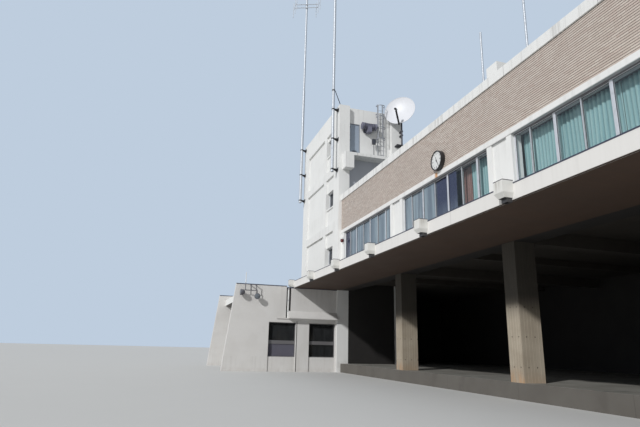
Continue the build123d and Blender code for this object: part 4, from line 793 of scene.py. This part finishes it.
for end, away in ((TILES_FROM + SAW_CUT, -1), (TILES_TO - SAW_CUT, 1)):
    everything = list(field.verts) + list(field.edges) + list(field.faces)
    bmesh.ops.bisect_plane(field, geom=everything, plane_co=(end, 0, 0), plane_no=(away, 0, 0),
                           clear_outer=True)
print(tiles_in_course, "tiles in each of", COURSES, "courses, before the ends are cut")

# %% [markdown]
# Every tile gets its own tone from a lottery on its course and its place in the course. Most are
# beige, some lean to pink and a few are darker, and the glaze has fine specks. Just under the
# coping, tiles and bed carry the coping's painted shadow.

# %% Tile glaze and bed
SHADE_LINE = COPING_UNDER - 0.03

bench = finish("tile_glaze", tone(210, 198, 187))
x, y, z = bench.axes
course = ((z - TILE_FOOT) / COURSE).whole()
along = (x - TILES_FROM) / TILE_PITCH + (course % 2.0) * 0.5
number = bench.join(along.whole(), course, 4.0)
draw = bench.lottery(number)
second = bench.lottery(bench.stretched(number, (1.7, 2.3, 1.0)))
speck = bench.rise(bench.noise(260.0, 2.0), 0.55, 0.75)
bench.lay(draw, tone(193, 178, 167))
bench.lay(bench.rise(second, 0.75, 1.0) * 0.35, tone(192, 168, 158))
bench.lay(bench.rise(bench.noise(0.35, 3.0), 0.4, 0.7) * 0.3, tone(188, 176, 167))
bench.lay(speck * 0.2, tone(146, 130, 120))
bench.lay(rain_runs(bench, (COPING_UNDER,), 1.9) * 0.12, tone(146, 137, 131))
# Painted shadow of the coping.
bench.lay((z > SHADE_LINE) * 0.8, tone(74, 68, 64))
make_piece("tile_courses", field, bench.coated(0.38 + draw * 0.15, speck, 0.0004))

bench = finish("tile_bed", tone(108, 97, 88))
grit = bench.noise(70.0, 3.0)
bench.lay(grit, tone(88, 79, 72))
# Painted shadow of the coping.
bench.lay((bench.axes[2] > SHADE_LINE) * 0.8, tone(60, 55, 52))
dress(bench.coated(0.9, grit, 0.001), "front_tiles")

# %% [markdown]
# ## Curtains
# Pleated curtains hang behind the panes of the right-hand bays, one narrow brown one and the
# others pale teal. A curtain is cut much wider than its window and gathered into pleats on a
# rail, so the sheet starts as a flat grid and its points are moved into waves. The waves are even
# at the rail, where hooks hold them, and wander and widen towards the hem. One colour would look
# like plastic, so the cloth has a weave, and painted shade darkens the back of each fold.

# %% Curtain cloth
CURTAIN_Y, CURTAIN_HEM, CURTAIN_RAIL = -2.03, 6.40, 8.388
CURTAIN_HEIGHT = CURTAIN_RAIL - CURTAIN_HEM
PLEAT, CLOTH, FULLNESS = 0.15, 0.0015, 1.5


def curtain_cloth(name, light, deep):
    bench = finish(name, light)
    weave = bench.noise((900.0, 900.0, 500.0), 1.0)
    # Painted shade at the back of each fold.
    fold_shade = bench.rise(bench.axes[1], CURTAIN_Y - 0.02, CURTAIN_Y + 0.025)
    for share in (fold_shade * 0.6, bench.noise((5.0, 5.0, 0.6), 3.0) * 0.35, weave * 0.2):
        bench.lay(share, deep)
    return bench.coated(0.9, weave, 0.0003)


teal_cloth = curtain_cloth("teal_cloth", tone(162, 196, 194), tone(100, 142, 150))
brown_cloth = curtain_cloth("brown_cloth", tone(140, 108, 100), tone(98, 75, 70))
print("cloth for curtains", round(CURTAIN_HEIGHT, 3), "m high")


# %% Hang the curtains
def hang_curtain(name, left, right, cloth, seed):
    """A pleated sheet between left and right, hanging from the rail."""
    width = right - left
    pleats = max(2, round(width / PLEAT))
    shape = bmesh.new()
    bmesh.ops.create_grid(shape, x_segments=pleats * 8, y_segments=12, size=0.5)
    for vert in shape.verts:
        along, down = vert.co.x + 0.5, 0.5 - vert.co.y
        sway = math.sin(along * 7 + seed) * 0.35 * down
        wave = math.sin(2 * math.pi * (along * pleats) + sway * 6)
        deep = 0.02 + 0.008 * math.sin(along * 11 + seed * 2)
        shift = 0.012 * math.sin(4 * math.pi * along * pleats + 1.0) * down
        vert.co = (left + width * along + shift, CURTAIN_Y + deep * wave,
                   CURTAIN_RAIL - down * CURTAIN_HEIGHT)
    piece = make_piece(name, shape, cloth, smooth=True)
    thick = piece.modifiers.new("cloth", "SOLIDIFY")
    thick.thickness = CLOTH
    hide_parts("front_curtains")


curtains = (
    ("curtain_brown", CURTAINS_FROM, 5.63, brown_cloth),
    ("curtain_middle_bay", 5.64, 7.28, teal_cloth),
    ("curtain_right_bay_a", 8.63, 10.42, teal_cloth),
    ("curtain_right_bay_b", 10.43, 12.46, teal_cloth),
    ("curtain_right_bay_c", 12.47, 14.50, teal_cloth),
    ("curtain_right_bay_d", 14.51, 15.42, teal_cloth),
)
for number, curtain in enumerate(curtains):
    hang_curtain(*curtain, number * 1.3)

# %% [markdown]
# ## Window trim
# Each pane is held in its sash by a black rubber gasket, and each sash has a pull at hand height.
# Rain that runs off the glass is thrown clear of the wall by a sloping metal sill with a lip. The
# sashes stand where the solid model has them: three pairs that slide on two tracks, and a single
# one at the right.

# %% Places of the sashes
BAYS = ((-7.375, -0.705), (0.625, 7.295), (8.625, 15.425))
BAR, MULLION, SASH = 0.04, 0.08, 0.03
MULLIONS_AT, FIRST_MEETING = (1.8, 3.84, 5.88), 0.74
TRACKS = (-2.391, -2.349)


def sashes(left, right):
    """Left edge, right edge and track of every sash between two jambs."""
    posts = [left + BAR - MULLION / 2, *(left + at for at in MULLIONS_AT), right - BAR + MULLION / 2]
    spans = [(a + MULLION / 2, b - MULLION / 2) for a, b in zip(posts, posts[1:])]
    meetings = (left + FIRST_MEETING, sum(spans[1]) / 2, sum(spans[2]) / 2)
    for (start, end), meeting in zip(spans, meetings):
        yield start, meeting + SASH / 2, 0
        yield meeting - SASH / 2, end, 1
    yield *spans[3], 0


print([len(list(sashes(*bay))) for bay in BAYS], "sashes in the bays")

# %% Gaskets, pulls and sills
GASKET = 0.008
PULL_FOOT, PULL_TOP = 7.3, 7.4
SILL_FRONT, SILL_BACK, SILL_SHEET, SILL_LIP, SILL_FALL = -2.536, -2.402, 0.003, 0.032, 0.018

rubber = finish("black_rubber", tone(30, 30, 31))
dust = rubber.noise(18.0, 4.0)
rubber.lay(dust * 0.4, tone(78, 76, 72))
gaskets, pulls, sills = bmesh.new(), bmesh.new(), bmesh.new()
low, high = SILL + BAR + SASH, HEAD - BAR - SASH
for left, right in BAYS:
    for start, end, track in sashes(left, right):
        start, end, face = start + SASH, end - SASH, TRACKS[track]
        for x_from, x_to, z_from, z_to in (
                (start, start + GASKET, low, high), (end - GASKET, end, low, high),
                (start, end, low, low + GASKET), (start, end, high - GASKET, high)):
            place_box(gaskets, (x_from, face - 0.002, z_from), (x_to, face + 0.012, z_to))
        place_box(pulls, (start - 0.022, face - 0.012, PULL_FOOT), (start - 0.01, face + 0.002, PULL_TOP))
    top = SILL + 0.001
    sheet = place_box(sills, (left, SILL_FRONT, top), (right, SILL_BACK, top + SILL_SHEET))
    lip = place_box(sills, (left, SILL_FRONT, SILL - SILL_LIP), (right, SILL_FRONT + SILL_SHEET, top))
    for vert in sheet + lip:
        if vert.co.y < (SILL_FRONT + SILL_BACK) / 2:
            vert.co.z -= SILL_FALL
soften(pulls, 0.003, 2)
make_piece("sash_gaskets", gaskets, rubber.coated(0.75 + dust * 0.1, dust, 0.0005))
make_piece("sash_pulls", pulls, window_metal)
make_piece("sill_sheets", sills, window_metal)

# %% [markdown]
# ## Clock
# The dial has a raised bar for each hour, a longer one at every third. A rolled ring covers the
# front edge of the case. It is a small circle, spun once round the clock's axis.

# %% Clock marks and ring
DIAL, CLOCK_FRONT, CASE_RADIUS, RING = (CLOCK_X, -2.692, 9.01), -2.71, 0.399, 0.02
MARK_OUT, HALF_MARK, LONG_MARK, SHORT_MARK = 0.338, 0.013, 0.09, 0.05


def place_ring(shape, matrix, radius, thickness, steps=64, sides=12):
    """A round bar bent into a ring about the matrix's Z axis."""
    profile = bmesh.ops.create_circle(
        shape, segments=sides, radius=thickness,
        matrix=matrix @ moved(radius, 0, 0) @ turned(90, "X"))["verts"]
    bmesh.ops.spin(
        shape, geom=list({edge for vert in profile for edge in vert.link_edges}),
        cent=matrix.translation, axis=matrix.to_3x3() @ Vector((0, 0, 1)),
        angle=2 * math.pi, steps=steps, use_merge=True)
    bmesh.ops.recalc_face_normals(shape, faces=shape.faces)


marks = bmesh.new()
for hour in range(12):
    inner = MARK_OUT - (SHORT_MARK if hour % 3 else LONG_MARK)
    place_box(marks, (-HALF_MARK, -0.004, inner), (HALF_MARK, 0.002, MARK_OUT),
              moved(*DIAL) @ turned(30 * hour, "Y"))
make_piece("clock_marks", marks, black_paint)

ring = bmesh.new()
place_ring(ring, moved(CLOCK_X, CLOCK_FRONT, DIAL[2]) @ turned(90, "X"), CASE_RADIUS, RING)
make_piece("clock_ring", ring, black_paint, smooth=True)

# %% [markdown]
# ## Dish
# A dish is spun from sheet, so its rim is rolled over for stiffness, and radial ribs hold its back
# in shape. The ribs start as flat grids whose points are moved on to the curve of the back. The
# horn in front has flanges where its halves bolt together, and the feed line runs down its strut
# inside a black sleeve with three clamps.

# %% Dish rim and ribs
DISH_MIDDLE, DISH_TURN, DISH_TILT = (-7.2749, 1.4342, 17.3465), -42.5, 90 - 9.6
DISH_RADIUS, DISH_BACK, DISH_DEPTH = 1.075, -0.242, 0.23
RIB_FROM, RIB_LENGTH, RIB_SHEET = 0.14, 0.9, 0.006
aim = moved(*DISH_MIDDLE) @ turned(DISH_TURN, "Z") @ turned(DISH_TILT, "Y")

rim = bmesh.new()
place_ring(rim, aim @ moved(0, 0, -0.006), DISH_RADIUS - 0.006, 0.015, 96, 10)
make_piece("dish_rim", rim, dish_paint, smooth=True)

ribs = bmesh.new()
for number in range(12):
    rib = bmesh.ops.create_grid(ribs, x_segments=12, y_segments=1, size=0.5)["verts"]
    for vert in rib:
        out = RIB_FROM + (vert.co.x + 0.5) * RIB_LENGTH
        curve = DISH_BACK + DISH_DEPTH * (out / DISH_RADIUS) ** 2
        tall = 0.06 * (1.15 - out)
        vert.co = (out, 0, curve + 0.004 - (0.5 - vert.co.y) * tall)
    bmesh.ops.transform(ribs, matrix=aim @ turned(30 * number + 15, "Z"), verts=rib)
bmesh.ops.recalc_face_normals(ribs, faces=ribs.faces)
thick = make_piece("dish_ribs", ribs, dish_paint).modifiers.new("sheet", "SOLIDIFY")
thick.thickness = RIB_SHEET
thick.offset = 0.0

# %% Horn flanges and feed sleeve
HORN, DISH_BOTTOM = Vector((0.52, 0, 0.9)), Vector((0, 0, -0.23))
STRUT_FOOT = Vector((DISH_RADIUS + 0.13, 0, -0.01))
FLANGES = ((0.15, 0.068, 0.006), (0.06, 0.088, 0.016), (-0.06, 0.088, 0.016))
SLEEVE = ((0.04, 0.9, 0.062), (0.04, 0.08, 0.072), (0.46, 0.5, 0.072), (0.86, 0.9, 0.072))


def place_rod(shape, start, end, radius, end_radius=None, sides=12):
    """A rod or cone between two points."""
    start, end = Vector(start), Vector(end)
    turn = (end - start).to_track_quat("Z", "Y").to_matrix().to_4x4()
    bmesh.ops.create_cone(
        shape, cap_ends=True, segments=sides, radius1=radius,
        radius2=radius if end_radius is None else end_radius, depth=(end - start).length,
        matrix=moved(*(start + end) / 2) @ turn)


horn, sleeve = bmesh.new(), bmesh.new()
toward = (DISH_BOTTOM - HORN).normalized()
for along, radius, length in FLANGES:
    start = HORN + toward * along
    place_rod(horn, start, start + toward * length, radius, sides=24)
for start, end, radius in SLEEVE:
    place_rod(sleeve, STRUT_FOOT.lerp(HORN, start), STRUT_FOOT.lerp(HORN, end), radius, sides=20)
for shape in (horn, sleeve):
    bmesh.ops.transform(shape, matrix=aim, verts=shape.verts)
soften(horn, 0.002)
make_piece("horn_flanges", horn, dish_paint)
make_piece("feed_sleeve", sleeve, black_paint)

# %% [markdown]
# ## Siren, door and control box
# A motor siren throws its sound out of slots round its drums, so both drums get a row of dark
# slots, and the motor between them has cooling fins. The steel door has a frame, three hinges and
# a louvre near its foot. The control box has a cover with a lock.

# %% Siren
SIREN = moved(-7.815, -0.63, 16.02) @ turned(90, "X")
DRUM_AT, CAP_AT, HALF_MOTOR = 0.337, 0.512, 0.26

slots, fins = bmesh.new(), bmesh.new()
for side in (-1, 1):
    drum = side * DRUM_AT
    for number in range(18):
        place_box(slots, (0.2, -0.022, drum - 0.042), (0.233, 0.022, drum + 0.042),
                  SIREN @ turned(20 * number, "Z"))
    for radius in (0.08, 0.14, 0.2):
        place_ring(fins, SIREN @ moved(0, 0, side * CAP_AT), radius, 0.006, 32, 6)
for number in range(24):
    place_box(fins, (0.19, -0.004, -HALF_MOTOR), (0.216, 0.004, HALF_MOTOR),
              SIREN @ turned(15 * number, "Z"))
make_piece("siren_slots", slots, black_paint)
make_piece("siren_fins", fins, siren_paint)

# %% Door frame, hinges and louvre
DOOR_LEFT, DOOR_RIGHT, DOOR_FOOT, DOOR_HEAD, DOOR_FACE = -1.92, -1.16, 13.83, 16.21, -8.205
DOOR_BAR, HINGES, HINGE_Y = 0.045, (14.1, 15.0, 15.95), DOOR_LEFT + 0.05
LOUVRE_FROM, LOUVRE_TO, LOUVRE_FOOT, SLAT_PITCH, SLAT_TILT = -1.7, -1.38, 14.05, 0.04, 40.107

frame_bars, fittings = bmesh.new(), bmesh.new()
for y_from, y_to, z_from in (
        (DOOR_LEFT, DOOR_LEFT + DOOR_BAR, DOOR_FOOT), (DOOR_RIGHT - DOOR_BAR, DOOR_RIGHT, DOOR_FOOT),
        (DOOR_LEFT + DOOR_BAR, DOOR_RIGHT - DOOR_BAR, DOOR_HEAD - DOOR_BAR)):
    place_box(frame_bars, (DOOR_FACE, y_from, z_from), (DOOR_FACE + 0.035, y_to, DOOR_HEAD))
soften(frame_bars, 0.003)
for level in HINGES:
    place_rod(fittings, (DOOR_FACE + 0.04, HINGE_Y, level - 0.06),
              (DOOR_FACE + 0.04, HINGE_Y, level + 0.06), 0.014)
for number in range(7):
    place_box(fittings, (-0.012, LOUVRE_FROM, -0.003), (0.012, LOUVRE_TO, 0.003),
              moved(DOOR_FACE + 0.008, 0, LOUVRE_FOOT + number * SLAT_PITCH) @ turned(SLAT_TILT, "Y"))
make_piece("door_frame", frame_bars, grey_steel)
make_piece("door_fittings", fittings, dark_steel)

# %% Cover of the control box
COVER = (-7.7525, -0.392, 14.785), (-7.746, -0.168, 15.125)
LOCK = (-7.746, -0.2, 14.92), (-7.736, -0.185, 14.98)

cover = bmesh.new()
place_box(cover, *COVER)
place_box(cover, *LOCK)
soften(cover, 0.0025)
make_piece("control_cover", cover, dark_steel)

# %% [markdown]
# ## Bolts and straps
# Everything that hangs on the tower is bolted to it. A bolt head is a six-sided rod. The bolts of
# one kind share an object, because they share a finish. Each mast bracket is stiffened by a web
# under its arm, a plate that tapers towards the mast.

# %% Bolts and webs
MASTS, MAST_Y, BRACKET_FACE = ((-16.045, 0.128), (-8.135, 0.113)), -3.12, -2.778
BRACKETS = (12.745, 14.895, 17.045)
WEB_TIP, WEB_BACK = -3.02, -2.76
SIREN_PLATE = (-8.126, -0.63, 15.79)
DISH_CLAMPS = ((-7.495, 1.7, 15.635), (-7.495, 1.7, 15.925))
LADDER_FACE, LADDER_PLATES = -8.137, [(y, z) for z in (13.935, 17.185) for y in (0.05, 0.47)]


def bolt_heads(x, y, z, across, ups, out, radius):
    """Heads on both sides of a place, at each level in ups, that stand out along the vector out."""
    for side in (-1, 1):
        for up in ups:
            head = Vector((x, y, z + up)) + side * Vector(across)
            place_rod(bolts, head, head + Vector(out), radius, sides=6)


bolts, webs = bmesh.new(), bmesh.new()
for x, reach in MASTS:
    for level in BRACKETS:
        bolt_heads(x, BRACKET_FACE, level, (0.09, 0, 0), (-0.09, 0.09), (0, 0.019, 0), 0.017)
        bolt_heads(x, MAST_Y - reach, level, (0.05, 0, 0), (0,), (0, 0.03, 0), 0.014)
        web = place_box(webs, (x - 0.008, WEB_TIP, level - 0.2), (x + 0.008, WEB_BACK, level - 0.04))
        for vert in web:
            if vert.co.y < (WEB_TIP + WEB_BACK) / 2 and vert.co.z < level - 0.1:
                vert.co.z = level - 0.06
bolt_heads(*SIREN_PLATE, (0, 0.22, 0), (-0.09, 0.09), (0.02, 0, 0), 0.015)
for clamp in DISH_CLAMPS:
    bolt_heads(*clamp, (0, 0.055, 0), (0,), (0.017, 0, 0), 0.014)
for y, z in LADDER_PLATES:
    place_box(bolts, (SIDE_WALL - 0.001, y - 0.05, z - 0.05), (LADDER_FACE, y + 0.05, z + 0.05))
    bolt_heads(LADDER_FACE, y, z, (0, 0.03, 0), (0,), (0.012, 0, 0), 0.01)
make_piece("bolts", bolts, zinc_steel)
make_piece("bracket_webs", webs, black_paint)

# %% Pipe straps
PIPE_X, PIPE_Y, ROUND_PIPE = -7.9995, -5.765, 0.0585
STRAPS, STRAP_WIDTH, PLATE_FROM, PLATE_TO = (3.4, 4.05, 4.7), 0.035, -8.055, -8.049

straps = bmesh.new()
for foot in STRAPS:
    top = foot + STRAP_WIDTH
    place_rod(straps, (PIPE_X, PIPE_Y, foot), (PIPE_X, PIPE_Y, top), ROUND_PIPE, sides=32)
    place_box(straps, (PLATE_FROM, PIPE_Y - 0.085, foot), (PLATE_TO, PIPE_Y + 0.085, top))
make_piece("pipe_straps", straps, grey_steel)

# %% [markdown]
# ## Lamps and wall caps
# Each floodlight is closed by a domed glass in a rolled bezel. The dome is a flattened sphere,
# and fine level ribs in the glass spread its light.

# %% Floodlights
LAMP_MOUTHS = (moved(-7.675, -8.69, 4.37) @ turned(90, "X"),
               moved(-7.545, -7.72, 4.17) @ turned(90, "Y"))
BEZEL, LENS, FLATNESS = 0.159, 0.15, Matrix.Diagonal((1, 1, 0.22, 1))

lamp_glass = finish("lamp_glass", tone(112, 118, 124))
level_ribs = abs((lamp_glass.axes[2] * 60.0) % 1.0 - 0.5)
haze = lamp_glass.noise(14.0, 3.0)
lamp_glass.lay(haze * 0.4, tone(84, 88, 92))
lenses, bezels = bmesh.new(), bmesh.new()
for mouth in LAMP_MOUTHS:
    place_ring(bezels, mouth, BEZEL, 0.012, 40, 8)
    bmesh.ops.create_uvsphere(lenses, u_segments=32, v_segments=16, radius=LENS,
                              matrix=mouth @ FLATNESS)
make_piece("lamp_lenses", lenses, lamp_glass.coated(0.1 + haze * 0.15, level_ribs, 0.001),
           smooth=True)
make_piece("lamp_bezels", bezels, lamp_paint, smooth=True)

# %% [markdown]
# A red lamp hangs on a short arm beside the first window, so that the station is found at night.
# Its globe is a sphere under a flat hood.

# %% Red lamp
RED_LAMP, GLOBE = (-7.42, -2.63, 7.84), 0.11

red_glass = finish("red_lamp_glass", tone(104, 34, 38))
haze = red_glass.noise(16.0, 3.0)
red_glass.lay(haze * 0.4, tone(76, 32, 36))
globe, arm = bmesh.new(), bmesh.new()
bmesh.ops.create_uvsphere(globe, u_segments=24, v_segments=16, radius=GLOBE, matrix=moved(*RED_LAMP))
x, y, hood = Vector(RED_LAMP) + Vector((0, 0, 0.09))
place_rod(arm, (x, y, hood), (x, y, hood + 0.06), 0.115, 0.05, sides=32)
place_rod(arm, (x, y, hood + 0.03), (x, y, hood + 0.1), 0.035)
place_rod(arm, (x, y, hood + 0.08), (x, FACADE - 0.01, hood + 0.08), 0.014)
place_box(arm, (x - 0.05, FACADE - 0.012, hood), (x + 0.05, FACADE, hood + 0.16))
soften(arm, 0.002)
make_piece("red_lamp_globe", globe, red_glass.coated(0.15 + haze * 0.2, haze, 0.0005),
           smooth=True)
make_piece("red_lamp_arm", arm, white_steel)

# %% [markdown]
# The tops of the wing's side walls are covered by a folded metal cap, which starts as a box whose
# underside is taken away.

# %% Wing wall caps
CAPPED_WALLS, WALL_WIDTH = (-8.235, -16.335), 0.3
CAP_RUNS = ((-8.91, -5.9, 4.9), (-5.9, -2.745, 4.82))
CAP_OVER, CAP_DOWN = 0.012, 0.035

caps = bmesh.new()
for wall in CAPPED_WALLS:
    for y_from, y_to, level in CAP_RUNS:
        place_box(caps, (wall - CAP_OVER, y_from, level - CAP_DOWN),
                  (wall + WALL_WIDTH + CAP_OVER, y_to, level + CAP_OVER))
undersides = [face for face in caps.faces if face.normal.z < -0.5]
bmesh.ops.delete(caps, geom=undersides, context="FACES")
make_piece("wing_caps", caps, flashing_paint)

# %% [markdown]
# ## The model's size
# The size of everything shown, apart from the floor, is printed. Nothing added here may make
# the building larger than the solid model.

# %% Sizes and finish
low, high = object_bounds()
print("visual model from", tuple(low), "to", tuple(high))
